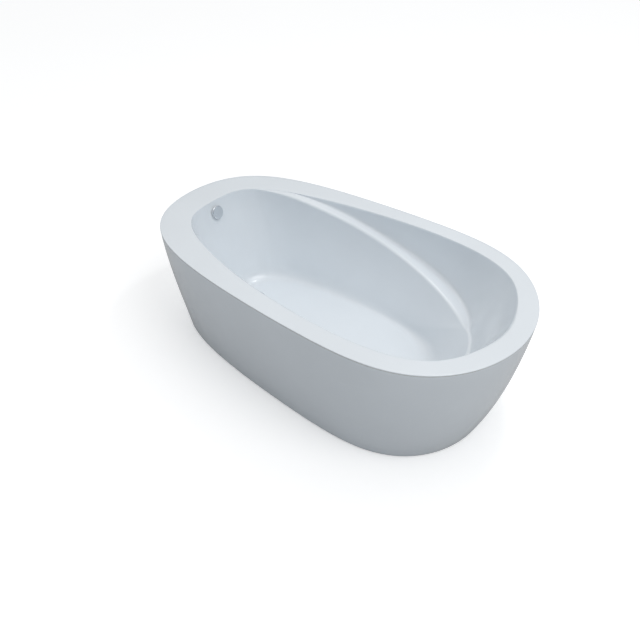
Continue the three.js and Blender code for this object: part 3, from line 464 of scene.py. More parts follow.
# ---- Finishes ----
class Shader:
    """Adds and joins the nodes of one material, group or world."""

    def __init__(self, tree):
        self.tree = tree

    def node(self, kind, settings=None, **inputs):
        node = self.tree.nodes.new(kind)
        for name, value in (settings or {}).items():
            setattr(node, name, value)
        for name, value in inputs.items():
            self.feed(node, name.replace("_", " "), value)
        return node

    def feed(self, node, name, value):
        socket = node.inputs[int(name[4:])] if name.startswith("slot") else node.inputs[name]
        if isinstance(value, bpy.types.NodeSocket):
            self.tree.links.new(value, socket)
        else:
            socket.default_value = value

    def maths(self, operation, first, second=0.0, third=0.0):
        node = self.node("ShaderNodeMath", {"operation": operation}, slot0=first, slot1=second, slot2=third)
        return node.outputs[0]

    def ramp(self, value, low, high, to_low=0.0, to_high=1.0):
        node = self.node("ShaderNodeMapRange", {"interpolation_type": "SMOOTHSTEP"}, Value=value,
                         From_Min=low, From_Max=high, To_Min=to_low, To_Max=to_high)
        return node.outputs["Result"]

    def blend(self, share, first, second):
        node = self.tree.nodes.new("ShaderNodeMix")
        node.data_type = "RGBA"
        colours = [socket for socket in node.inputs if socket.type == "RGBA"]
        for socket, value in ((node.inputs[0], share), (colours[0], first), (colours[1], second)):
            if isinstance(value, bpy.types.NodeSocket):
                self.tree.links.new(value, socket)
            else:
                socket.default_value = value
        return next(socket for socket in node.outputs if socket.type == "RGBA")


def new_group(name, inputs, outputs):
    """An empty node group: an input without a default is a vector, and everything else is a number."""
    tree = bpy.data.node_groups.new(name, "ShaderNodeTree")
    for label, default in inputs:
        kind = "NodeSocketVector" if default is None else "NodeSocketFloat"
        socket = tree.interface.new_socket(name=label, in_out="INPUT", socket_type=kind)
        if default is not None:
            socket.default_value = default
    for label in outputs:
        tree.interface.new_socket(name=label, in_out="OUTPUT", socket_type="NodeSocketFloat")
    shader = Shader(tree)
    return tree, shader, shader.node("NodeGroupInput").outputs, shader.node("NodeGroupOutput")


def soft_wear_group():
    """Wipe marks and unevenness: broad faint clouds and fine streaks for roughness, and a low swell for
    height."""
    name = "Soft wear"
    if name in bpy.data.node_groups:
        return bpy.data.node_groups[name]
    tree, shader, given, out = new_group(
        name, [("Place", None), ("Cloud scale", 6.0), ("Streak scale", 40.0), ("Streaks", 0.3)],
        ["Wear", "Swell"])
    clouds = shader.node("ShaderNodeTexNoise", Vector=given["Place"], Scale=given["Cloud scale"],
                         Detail=4.0, Roughness=0.55)
    stretch = shader.node("ShaderNodeMapping", Vector=given["Place"])
    stretch.inputs["Scale"].default_value = (1.0, 5.0, 2.0)
    streaks = shader.node("ShaderNodeTexNoise", Vector=stretch.outputs[0], Scale=given["Streak scale"],
                          Detail=6.0, Roughness=0.7)
    faint = shader.maths("MULTIPLY", shader.ramp(streaks.outputs["Fac"], 0.5, 0.75), given["Streaks"])
    wear = shader.maths("ADD", clouds.outputs["Fac"], faint)
    shader.feed(out, "Wear", wear)
    swell = shader.node("ShaderNodeTexNoise", Vector=given["Place"], Scale=given["Cloud scale"], Detail=1.0)
    shader.feed(out, "Swell", swell.outputs["Fac"])
    return tree


def grain_group():
    """Fine grain: small bumps of two sizes, as on moulded plastic, powder coat or rubber."""
    name = "Fine grain"
    if name in bpy.data.node_groups:
        return bpy.data.node_groups[name]
    tree, shader, given, out = new_group(
        name, [("Place", None), ("Scale", 900.0), ("Second size", 3.1)], ["Grain", "Speckle"])
    fine = shader.node("ShaderNodeTexNoise", Vector=given["Place"], Scale=given["Scale"], Detail=3.0,
                       Roughness=0.6)
    smaller = shader.maths("MULTIPLY", given["Scale"], given["Second size"])
    cells = shader.node("ShaderNodeTexVoronoi", Vector=given["Place"], Scale=smaller)
    grain = shader.maths("MULTIPLY_ADD", cells.outputs["Distance"], 0.4, fine.outputs["Fac"])
    shader.feed(out, "Grain", grain)
    shader.feed(out, "Speckle", shader.ramp(fine.outputs["Fac"], 0.4, 0.6))
    return tree


def rgba(colour, times=1.0):
    """A colour made lighter or darker, with full alpha."""
    return (*[min(channel * times, 1.0) for channel in colour], 1.0)


class Finish:
    """One material with its Principled shader, object coordinates and the two shared groups."""

    def __init__(self, name, **fixed):
        self.material = bpy.data.materials.new(f"{name}_finish")
        self.material.use_nodes = True
        tree = self.material.node_tree
        tree.nodes.clear()
        self.shader = Shader(tree)
        self.bsdf = self.shader.node("ShaderNodeBsdfPrincipled", **fixed)
        out = self.shader.node("ShaderNodeOutputMaterial")
        tree.links.new(self.bsdf.outputs[0], out.inputs["Surface"])
        self.place = self.shader.node("ShaderNodeTexCoord").outputs["Object"]

    def group(self, tree, **inputs):
        return self.shader.node("ShaderNodeGroup", {"node_tree": tree}, Place=self.place, **inputs).outputs

    def rough(self, wear, low, high):
        value = self.shader.ramp(wear, 0.35, 0.85, low, high)
        self.shader.feed(self.bsdf, "Roughness", value)

    def colour(self, value):
        self.shader.feed(self.bsdf, "Base Color", value)

    def bump(self, height, distance, strength=1.0):
        node = self.shader.node("ShaderNodeBump", Height=height, Distance=distance, Strength=strength)
        self.shader.feed(self.bsdf, "Normal", node.outputs[0])


def acrylic_finish(look):
    """Glossy white acrylic outside; where the mesh's fibre attribute is 1, the rough glass-fibre backing."""
    made = Finish("white_acrylic", Coat_Weight=0.5, Coat_Roughness=0.06)
    shader = made.shader
    wear = made.group(soft_wear_group(), Cloud_scale=3.0, Streak_scale=22.0, Streaks=0.12)
    grain = made.group(grain_group(), Scale=420.0)
    backing = shader.node("ShaderNodeAttribute", {"attribute_name": "fibre"}).outputs["Fac"]
    cloud = shader.ramp(wear["Wear"], 0.35, 0.75)
    tint = shader.blend(cloud, rgba(look.acrylic, 0.985), rgba(look.acrylic, 1.012))
    strands = []
    for turn, size in ((0.4, 90.0), (1.9, 70.0), (2.8, 110.0)):
        laid = shader.node("ShaderNodeMapping", Vector=made.place)
        laid.inputs["Rotation"].default_value = (turn, turn * 0.7, turn * 1.6)
        laid.inputs["Scale"].default_value = (1.0, 9.0, 9.0)
        noise = shader.node("ShaderNodeTexNoise", Vector=laid.outputs[0], Scale=size, Detail=2.0)
        strands.append(shader.ramp(noise.outputs["Fac"], 0.52, 0.62))
    mat = shader.maths("MAXIMUM", shader.maths("MAXIMUM", strands[0], strands[1]), strands[2])
    glass = shader.blend(mat, rgba(look.fibre, 0.8), rgba(look.fibre, 1.2))
    made.colour(shader.blend(backing, tint, glass))
    gloss = shader.ramp(wear["Wear"], 0.35, 0.85, look.acrylic_roughness * 0.9, look.acrylic_roughness * 1.15)
    rough = shader.maths("MULTIPLY_ADD", backing, 0.45, gloss)
    shader.feed(made.bsdf, "Roughness", rough)
    swell = shader.maths("MULTIPLY", wear["Swell"], 0.25)
    ripple = shader.maths("MULTIPLY_ADD", grain["Grain"], 0.006, swell)
    height = shader.maths("MULTIPLY_ADD", shader.maths("MULTIPLY", backing, mat), 1.2, ripple)
    made.bump(height, 0.0005)
    return made.material


def chrome_finish(look):
    """Polished plating with faint wipe streaks and dried water spots."""
    made = Finish("chrome", Metallic=1.0)
    shader = made.shader
    wear = made.group(soft_wear_group(), Cloud_scale=30.0, Streak_scale=260.0, Streaks=0.5)
    spots = shader.node("ShaderNodeTexVoronoi", Vector=made.place, Scale=230.0)
    dried = shader.ramp(spots.outputs["Distance"], 0.10, 0.16, 1.0, 0.0)
    faint = shader.maths("MULTIPLY", dried, 0.25)
    made.colour(shader.blend(faint, rgba(look.chrome), rgba(look.chrome, 0.8)))
    low, high = look.chrome_roughness * 0.7, look.chrome_roughness * 1.6
    base = shader.ramp(wear["Wear"], 0.35, 0.95, low, high)
    shader.feed(made.bsdf, "Roughness", shader.maths("MULTIPLY_ADD", dried, 0.08, base))
    made.bump(wear["Swell"], 0.00002)
    return made.material


def grained_finish(name, colour, roughness, scale, depth, **fixed):
    """A moulded or sprayed skin: speckled colour, uneven gloss and a fine grain that catches the light."""
    made = Finish(name, **fixed)
    shader = made.shader
    wear = made.group(soft_wear_group(), Cloud_scale=25.0, Streak_scale=180.0, Streaks=0.35)
    grain = made.group(grain_group(), Scale=scale)
    made.colour(shader.blend(shader.ramp(wear["Wear"], 0.35, 0.9), rgba(colour, 0.86), rgba(colour, 1.15)))
    made.rough(wear["Wear"], roughness * 0.85, min(roughness * 1.2, 1.0))
    made.bump(grain["Grain"], depth)
    return made.material


def zinc_finish(look):
    """Bright zinc plate: crystalline patches, a faint warm cast and drawn streaks."""
    made = Finish("zinc_steel", Metallic=1.0)
    shader = made.shader
    wear = made.group(soft_wear_group(), Cloud_scale=60.0, Streak_scale=500.0, Streaks=0.8)
    patches = shader.node("ShaderNodeTexVoronoi", Vector=made.place, Scale=420.0)
    cast = shader.blend(shader.ramp(wear["Wear"], 0.4, 0.8), rgba(look.zinc), (0.66, 0.62, 0.50, 1.0))
    bright = shader.ramp(patches.outputs["Color"], 0.1, 0.9, 0.0, 0.35)
    made.colour(shader.blend(bright, cast, rgba(look.zinc, 0.72)))
    made.rough(wear["Wear"], 0.24, 0.42)
    made.bump(wear["Swell"], 0.00003)
    return made.material


def plywood_finish(look):
    """Birch ply: long wavering grain on the faces and thin dark and light layers on the edges."""
    made = Finish("plywood")
    shader = made.shader
    along = shader.node("ShaderNodeMapping", Vector=made.place)
    along.inputs["Scale"].default_value = (0.7, 11.0, 1.0)
    warp = shader.node("ShaderNodeTexNoise", Vector=along.outputs[0], Scale=6.0, Detail=6.0, Distortion=1.2)
    rings = shader.ramp(warp.outputs["Fac"], 0.40, 0.62)
    face = shader.blend(rings, rgba(look.ply_dark), rgba(look.ply_light))
    height = shader.node("ShaderNodeSeparateXYZ", Vector=made.place).outputs["Z"]
    layer = shader.maths("FRACT", shader.maths("MULTIPLY", height, 333.0))
    edge = shader.blend(shader.ramp(layer, 0.42, 0.58), rgba(look.ply_dark), rgba(look.ply_light, 1.1))
    normal = shader.node("ShaderNodeNewGeometry").outputs["Normal"]
    facing = shader.node("ShaderNodeSeparateXYZ", Vector=normal)
    upright = shader.ramp(shader.maths("ABSOLUTE", facing.outputs["Z"]), 0.3, 0.7)
    made.colour(shader.blend(upright, edge, face))
    wear = made.group(soft_wear_group(), Cloud_scale=14.0, Streak_scale=90.0, Streaks=0.4)
    made.rough(wear["Wear"], 0.55, 0.78)
    made.bump(warp.outputs["Fac"], 0.0006)
    return made.material


FINISHES = {}


def finish_of(slot):
    """The material for a slot of the record, made when it is first asked for."""
    look = bpy.context.scene.tub_finish
    builders = {
        "white_acrylic": lambda: acrylic_finish(look),
        "chrome": lambda: chrome_finish(look),
        "black_rubber": lambda: grained_finish("black_rubber", look.rubber, 0.62, 1400.0, 0.00006),
        "cable_sleeve": lambda: grained_finish("cable_sleeve", look.sleeve, 0.42, 2200.0, 0.00003),
        "grey_plastic": lambda: grained_finish("grey_plastic", look.plastic, 0.40, 1600.0, 0.00004),
        "frame_paint": lambda: grained_finish("frame_paint", look.paint, 0.38, 520.0, 0.00010),
        "zinc_steel": lambda: zinc_finish(look),
        "plywood": lambda: plywood_finish(look),
    }
    if slot not in FINISHES:
        FINISHES[slot] = builders[slot]()
    return FINISHES[slot]


SLOTS = {part["node"]: part["material_slot"] for part in frame["record"]["subparts"]}


def settle(piece, node):
    """Gives a piece its finish, rides it on its node's body and lets it stand for that node."""
    piece.data.materials.clear()
    piece.data.materials.append(finish_of(SLOTS[node]))
    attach(piece, NODES[node]["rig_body"])
    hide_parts(node)
    return piece


def softened(node, bevel):
    """A copy of a design node with its loose triangles merged and its edges rounded."""
    mesh = NODES[node].data.copy()
    mesh.name = f"{node}_softened"
    merged = bmesh.new()
    merged.from_mesh(mesh)
    bmesh.ops.remove_doubles(merged, verts=merged.verts, dist=10 * SAME_POINT)
    merged.to_mesh(mesh)
    merged.free()
    piece = new_object(mesh)
    rounding = piece.modifiers.new("rounding", "BEVEL")
    rounding.width = bevel
    rounding.segments = 2
    rounding.limit_method = "ANGLE"
    rounding.angle_limit = math.radians(42)
    settle(piece, node)


# ---- The basin ----
# Where the ledge's two corners lie on the straight wall, in parts of the ledge's depth.
PLAIN_LIP = 1.5
PLAIN_LEDGE = 0.5

# Steps over each rounded corner and along each straight run, from the drain hole outwards to the rim.
TOP_CURVES, TOP_RUNS = [12, 6, 6, 6, 5], [10, 52, 4, 6, 6, 1]
UNDER_CURVES, UNDER_RUNS = [8, 4, 4, 3], [6, 40, 3, 4, 4]

# A face is on the fibre side when its normal's part towards that side is more than this.
FIBRE_SIDE = 0.02


def basin_corners(spread, drop):
    """The section's corners round the well: foot of the wall, ledge lip, foot of the upper wall, well edge.
    The ledge's depth, lean and lip grow with the place round the well, and away from the ledge its two
    corners lie on the straight wall instead."""
    well = outline(WELL_SHAPE, WELL_LOW_X, WELL_HIGH_X, WELL_WIDTH)
    foot = outline(FLOOR_SHAPE, FLOOR_LOW_X, FLOOR_HIGH_X, FLOOR_WIDTH)
    out = outwards(well)
    degrees = 360 * np.arange(OUTLINE_STEPS) / OUTLINE_STEPS
    place = np.where(degrees > 180, degrees - 360, degrees)
    gone = 1 - grown(LEDGE_BEGINS, place) * (1 - grown(LEDGE_ENDS, place))
    around = np.abs(place)
    depth = LEDGE_LEAST + grown(LEDGE_DEPTH, around)
    lean = SIDE_DRAFT * depth + grown(WALL_LEAN, around)
    lip = np.maximum(grown(LIP_START, around) + grown(LIP_SWELL, around), lean + LEDGE_LEAST)
    share = depth / (RIM_HEIGHT - FLOOR_TOP)

    def corner(inset, wall_share):
        ledge = with_z(well - out * inset[:, None], RIM_HEIGHT - depth)
        height = RIM_HEIGHT - wall_share * (RIM_HEIGHT - FLOOR_TOP)
        plain = with_z(well + (foot - well) * wall_share[:, None], height)
        return ledge + (plain - ledge) * gone[:, None]

    corners = [with_z(foot, FLOOR_TOP), corner(lip, PLAIN_LIP * share), corner(lean, PLAIN_LEDGE * share),
               with_z(well, RIM_HEIGHT)]
    push = with_z(out * spread, -drop)
    return [points + push for points in corners]


def drain_ring(z):
    """The drain hole's circle at a height, with as many points as the outlines."""
    a = TURN * np.arange(OUTLINE_STEPS) / OUTLINE_STEPS
    ring_points = np.stack([DRAIN_X + DRAIN_HOLE_RADIUS * np.cos(a), DRAIN_HOLE_RADIUS * np.sin(a)], axis=-1)
    return with_z(ring_points, z)


def seated(rows, depth):
    """Points near the overflow moved square to its seat until they lie `depth` behind it, fully inside the
    flat radius and fading out to the blend radius."""
    away = rows - OVERFLOW_SEAT
    height = away @ OVERFLOW_AXIS
    radius = np.linalg.norm(away - height[..., None] * OVERFLOW_AXIS, axis=-1)
    fade = 1 - eased((radius - SEAT_FLAT_RADIUS) / (SEAT_BLEND_RADIUS - SEAT_FLAT_RADIUS))
    return rows + ((-depth - height) * fade)[..., None] * OVERFLOW_AXIS


def basin_rows(sizes):
    """The whole closed skin: out from the drain hole over floor, wall, ledge and deck, round the rim's edge
    and back along the underside, which is the same section spread outwards and dropped by the wall."""
    rim = outline(RIM_SHAPE, -RIM_LENGTH / 2, RIM_LENGTH / 2, RIM_WIDTH)
    cuts = [sizes.floor_round, sizes.lip_round, sizes.ledge_round, sizes.well_round]
    edge = [with_z(rim, RIM_HEIGHT), with_z(rim, DECK_UNDERSIDE)]
    top_chain = [drain_ring(FLOOR_TOP), *basin_corners(0, 0), *edge]
    inside = rounded(top_chain, [*cuts, sizes.rim_round], TOP_CURVES, TOP_RUNS)
    under_rim = with_z(rim - outwards(rim) * GAP, DECK_UNDERSIDE)
    under_chain = [drain_ring(FLOOR_TOP - SHELL_WALL), *basin_corners(SHELL_WALL, SHELL_WALL), under_rim]
    under = rounded(under_chain, cuts, UNDER_CURVES, UNDER_RUNS)
    return seated(inside, 0.0), seated(under, OVERFLOW_WALL)


def mark_fibre(piece, is_fibre):
    """Writes 1 at the points that show the glass-fibre backing and 0 at those that show the acrylic."""
    values = piece.data.attributes.new("fibre", "FLOAT", "POINT")
    values.data.foreach_set("value", is_fibre.astype(np.float32))


def vectors_of(items, key):
    """One row of x, y and z for each of a mesh's points or normals."""
    flat = np.zeros(len(items) * 3, np.float32)
    items.foreach_get(key, flat)
    return flat.reshape(-1, 3).astype(float)


def points_and_normals(mesh):
    return vectors_of(mesh.vertices, "co"), vectors_of(mesh.vertex_normals, "vector")


class TUB_OT_basin(bpy.types.Operator):
    """Builds the moulded basin with its ledge, deck, drain hole and overflow hole"""

    bl_idname = "tub.basin"
    bl_label = "Basin"

    def execute(self, context):
        inside, under = basin_rows(context.scene.tub_sizes)
        rows = np.concatenate([inside, under[::-1]])
        piece = new_object(new_mesh("basin", [(rows, True)]))
        hole = on_overflow_axis(rod(OVERFLOW_HOLE_RADIUS, -4 * SHELL_WALL, 3 * SHELL_WALL, steps=ROUND_STEPS))
        carved(piece, [("DIFFERENCE", [hole])])
        points, normals = points_and_normals(piece.data)
        down = normals[:, 2] < -FIBRE_SIDE
        below_deck = points[:, 2] < DECK_UNDERSIDE + GAP
        mark_fibre(piece, down & below_deck)
        settle(piece, "basin_shell")
        return {"FINISHED"}


# ---- The skirt ----
# The skirt section's corners after the base edge: how far each is rounded, then the steps over every corner
# and along every run.
SKIRT_CUTS = [0.0006, 0.001, 0.001, 0.008, 0.006, 0.0015, 0.0015]
SKIRT_CURVES, SKIRT_RUNS = [5, 2, 2, 2, 4, 4, 2, 2], [2, 44, 3, 1, 3, 22, 2, 1, 2]


def skirt_rows(section):
    """The rim's outline at each (height, inset) of a section: scaled towards the base by powers of how far
    the height is below the rim, shifted and made more egg-shaped, then moved in by the inset."""
    rim = outline(RIM_SHAPE, -RIM_LENGTH / 2, RIM_LENGTH / 2, RIM_WIDTH)
    z, inset = section[:, 0, None], section[:, 1, None]
    left = np.clip(1 - z / RIM_HEIGHT, 0, None)
    long_share = 1 - (BASE_END_TAPER / RIM_LENGTH) * left ** BEND_LENGTH
    wide_share = 1 - (BASE_SIDE_TAPER / RIM_WIDTH) * left ** BEND_WIDTH
    egg = 1 + BASE_EGG * left ** BEND_WIDTH * rim[None, :, 0] / (RIM_LENGTH / 2)
    x = rim[None, :, 0] * long_share + BASE_SHIFT_X * left ** BEND_SHIFT
    flat = np.stack([x, rim[None, :, 1] * wide_share * egg], axis=-1)
    flat = flat - outwards(flat) * inset[..., None]
    return np.concatenate([flat, np.broadcast_to(z[..., None], (*flat.shape[:2], 1))], axis=-1)


def skirt_section(base_round):
    """Corners (height, inset) of the skirt's wall with its top and base flanges, rounded and divided."""
    reach = SKIRT_WALL + SKIRT_BASE_FLANGE
    floor, roof = SKIRT_LIFT, DECK_UNDERSIDE - GAP
    under_roof, above_floor = roof - SKIRT_WALL, floor + SKIRT_WALL
    corners = [(floor, reach / 2), (floor, 0), (roof, 0), (roof, SKIRT_TOP_FLANGE),
               (under_roof, SKIRT_TOP_FLANGE), (under_roof, SKIRT_WALL), (above_floor, SKIRT_WALL),
               (above_floor, reach), (floor, reach), (floor, reach / 2)]
    chain = [np.array([corner], float) for corner in corners]
    rows = rounded(chain, [base_round, *SKIRT_CUTS], SKIRT_CURVES, SKIRT_RUNS)
    return rows[:-1, 0]


class TUB_OT_skirt(bpy.types.Operator):
    """Builds the tapered outer skirt with its top and base flanges"""

    bl_idname = "tub.skirt"
    bl_label = "Skirt"

    def execute(self, context):
        rows = skirt_rows(skirt_section(context.scene.tub_sizes.base_round))
        piece = new_object(new_mesh("skirt", [(rows, True)]))
        points, normals = points_and_normals(piece.data)
        towards_middle = np.sum(normals[:, :2] * points[:, :2], axis=1) < -FIBRE_SIDE
        mark_fibre(piece, towards_middle)
        settle(piece, "skirt_shell")
        return {"FINISHED"}


# ---- Frame and brackets ----
RAIL_BEVEL, BRACKET_BEVEL, BOARD_BEVEL = 0.0012, 0.0008, 0.0015


class TUB_OT_frame(bpy.types.Operator):
    """Builds the support board, rails, cross rails and skirt brackets with rounded edges"""

    bl_idname = "tub.frame"
    bl_label = "Frame and brackets"

    def execute(self, context):
        for node in sorted(NODES):
            if node.startswith(("frame_rail", "cross_rail")):
                softened(node, RAIL_BEVEL)
            if node.startswith("skirt_bracket"):
                softened(node, BRACKET_BEVEL)
        softened("floor_board", BOARD_BEVEL)
        return {"FINISHED"}


# ---- Threads, nuts and fasteners ----
def threaded(radius, low, high, pitch, depth, steps=SMALL_STEPS, per_turn=6):
    """A rod whose radius drops by a sawtooth of (height / pitch - angle / turn), which is a helix, and whose
    first and last pitch taper in."""
    count = max(int((high - low) / pitch * per_turn), 8)
    z = np.linspace(low, high, count)[:, None]
    a = TURN * np.arange(steps)[None, :] / steps
    saw = np.abs(((z / pitch - a / TURN) % 1) * 2 - 1)
    taper = depth * (1 - eased(np.minimum(z - low, high - z) / pitch))
    r = radius - depth * saw - taper
    body = np.stack([r * np.cos(a), r * np.sin(a), z + 0 * a], axis=-1)
    ends = [body[:1] * [0, 0, 1], body[-1:] * [0, 0, 1]]
    return np.concatenate([ends[0], body, ends[1]]), False


def hex_nut(flats, low, high, bore, steps=96):
    """A nut: outside, the hexagon's radius flats / 2 / cos(angle from the nearest flat's middle), cut by a
    cone at each face; inside, a round bore with softened mouths."""
    a = TURN * np.arange(steps)[None, :] / steps
    from_flat = ((a + TURN / 12) % (TURN / 6)) - TURN / 12
    hexagon = flats / 2 / np.cos(from_flat)
    face = flats / 2 * 0.94
    rise = (high - low) * np.array([0, 0.06, 0.12, 0.2, 0.3, 0.7, 0.8, 0.88, 0.94, 1])[:, None]
    nearest = np.minimum(rise, (high - low) - rise)
    outside = np.minimum(hexagon, face + 1.6 * nearest)
    inside = bore + np.array([0.0008, 0, 0, 0.0008])[:, None] + 0 * a
    inner_z = np.array([high, high - 0.0008, low + 0.0008, low])[:, None]
    r = np.concatenate([outside, inside])
    z = np.concatenate([low + rise, inner_z]) + 0 * a
    return np.stack([r * np.cos(a), r * np.sin(a), z], axis=-1), True


def pan_head(radius, low, tall, slot_wide, slot_long, slot_deep, steps=48, rows=16):
    """A domed head: height falls with the square of the radius, less a cross-shaped recess whose depth
    fades at its edges."""
    share = np.linspace(0, 1, rows)[:, None]
    a = TURN * np.arange(steps)[None, :] / steps
    r = radius * share
    x, y = r * np.cos(a), r * np.sin(a)
    crown = low + tall * (1 - 0.55 * share ** 2.5) + 0 * a

    def arm(across, along):
        beside = eased((slot_wide - np.abs(across)) / slot_wide * 2)
        return beside * eased((slot_long - np.abs(along)) / slot_long * 3)

    z = crown - slot_deep * np.maximum(arm(x, y), arm(y, x))
    top = np.stack([x, y, z], axis=-1)
    skirt_low = np.stack([x[-1], y[-1], low + 0 * x[-1]], axis=-1)[None]
    middle = skirt_low * [0, 0, 1]
    return np.concatenate([middle, skirt_low, top[::-1]]), False


FOOT_COUNT = 5
FOOT_PITCH, FOOT_THREAD = 0.0015, 0.0008
FOOT_BORE = 0.0053
PAD_COLLAR, PAD_SOCKET_DEEP = 0.0083, 0.007
PAD_GRIPS, PAD_GRIP_DEPTH = 24, 0.022


class TUB_OT_feet(bpy.types.Operator):
    """Builds the five levelling feet: pads, threaded studs, lock nuts and weld nuts"""

    bl_idname = "tub.feet"
    bl_label = "Levelling feet"

    def execute(self, context):
        for number in range(1, FOOT_COUNT + 1):
            self.pad(f"foot_pad_{number}")
            self.stud(f"foot_stud_{number}")
            for kind in ("lock_nut", "weld_nut"):
                self.nut(f"foot_{kind}_{number}")
        return {"FINISHED"}

    def pad(self, node):
        """A low cone with a collar and a socket. Near its edge the radius shrinks by a share that follows a
        cosine of the angle times the number of grips."""
        low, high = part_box(node)
        middle, radius = (low + high) / 2, (high.y - low.y) / 2
        top, socket_floor = high.z, high.z - PAD_SOCKET_DEEP
        corners = [(0, 0), (radius - 0.0015, 0), (radius, 0.0015), (radius, top * 0.5),
                   (PAD_COLLAR + 0.003, top - 0.002), (PAD_COLLAR, top), (FOOT_BORE, top),
                   (FOOT_BORE, socket_floor), (0, socket_floor)]
        rows = turned(profile(corners, 0.0009, closed=False), 4 * PAD_GRIPS)
        a = np.arctan2(rows[..., 1], rows[..., 0])
        r = np.linalg.norm(rows[..., :2], axis=-1)
        grip = 1 - PAD_GRIP_DEPTH * (0.5 + 0.5 * np.cos(PAD_GRIPS * a)) * (r > radius * 0.8)
        rows[..., :2] *= grip[..., None]
        settle(new_object(new_mesh(f"{node}_moulded", [(moved(rows, middle.x, middle.y), False)])), node)

    def stud(self, node):
        low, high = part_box(node)
        middle = (low + high) / 2
        rows, wrap = threaded((high.y - low.y) / 2, low.z, high.z, FOOT_PITCH, FOOT_THREAD, steps=28)
        settle(new_object(new_mesh(f"{node}_threaded", [(moved(rows, middle.x, middle.y), wrap)], 60)), node)

    def nut(self, node):
        low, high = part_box(node)
        middle = (low + high) / 2
        rows, wrap = hex_nut(high.x - low.x, low.z, high.z, FOOT_BORE)
        quarter_turned = np.stack([-rows[..., 1], rows[..., 0], rows[..., 2]], axis=-1)
        grid = (moved(quarter_turned, middle.x, middle.y), wrap)
        settle(new_object(new_mesh(f"{node}_hex", [grid], 30)), node)


HEAD_TALL, SHANK_RADIUS = 0.003, 0.0025
RECESS_WIDE, RECESS_LONG, RECESS_DEEP = 0.0009, 0.0032, 0.0016
SCREW_PITCH, SCREW_THREAD = 0.0009, 0.0004


class TUB_OT_fasteners(bpy.types.Operator):
    """Builds the bracket screws and bolts, with threads and cross-recessed heads"""

    bl_idname = "tub.fasteners"
    bl_label = "Bracket fasteners"

    def execute(self, context):
        for node in sorted(NODES):
            if node.startswith(("bracket_screw", "bracket_bolt")):
                self.build(node)
        return {"FINISHED"}

    def build(self, node):
        low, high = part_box(node)
        middle, radius = (low + high) / 2, (high.y - low.y) / 2
        neck = high.z - HEAD_TALL
        cap = pan_head(radius, neck, HEAD_TALL, RECESS_WIDE, RECESS_LONG, RECESS_DEEP)
        thread = threaded(SHANK_RADIUS, low.z, neck + HEAD_TALL * 0.2, SCREW_PITCH, SCREW_THREAD, 24, 5)
        grids = [(moved(rows, middle.x, middle.y), wrap) for rows, wrap in (cap, thread)]
        settle(new_object(new_mesh(f"{node}_turned", grids, 50)), node)


# ---- Overflow ----
SLEEVE_RADIUS, SLEEVE_BORE, SLEEVE_LENGTH = 0.022, 0.0195, 0.022
FLANGE_RADIUS, FLANGE_THICK = 0.029, 0.003
GASKET_THICK = 0.003
GASKET_FRONT = -OVERFLOW_WALL - GAP
BODY_FRONT = GASKET_FRONT - GASKET_THICK - GAP
BODY_RADIUS, BODY_DEEP, BODY_WALL = 0.029, 0.044, 0.0035
BODY_BACK = BODY_FRONT - BODY_DEEP
SPINDLE_RADIUS = 0.005
HUB_WALL, HUB_TALL, HUB_ARM = 0.003, 0.006, 0.005
STEM_CLEARANCE = 0.0004
PAST_WALL = 0.001
SPIGOT_RADIUS, SPIGOT_BORE = 0.014, 0.012
SPIGOT_BARBS, BARB_PITCH, BARB_DEPTH = 3, 0.005, 0.0012
BOSS_RADIUS = 0.005
OUTLET_SHARE = 0.55
OUTLET = OVERFLOW_SEAT + OVERFLOW_AXIS * (BODY_FRONT + (BODY_BACK - BODY_FRONT) * OUTLET_SHARE)
OUTLET_X, OUTLET_Z = float(OUTLET[0]), float(OUTLET[2])


def spider(bore, hub, low, high):
    """A hub and two crossed arms that reach just into the bore's wall."""
    long = bore + PAST_WALL
    half = HUB_ARM / 2
    one = bar((-long, -half, low), (long, half, high))
    other = bar((-half, -long, low), (half, long, high))
    return [rod(hub, low, high), one, other]


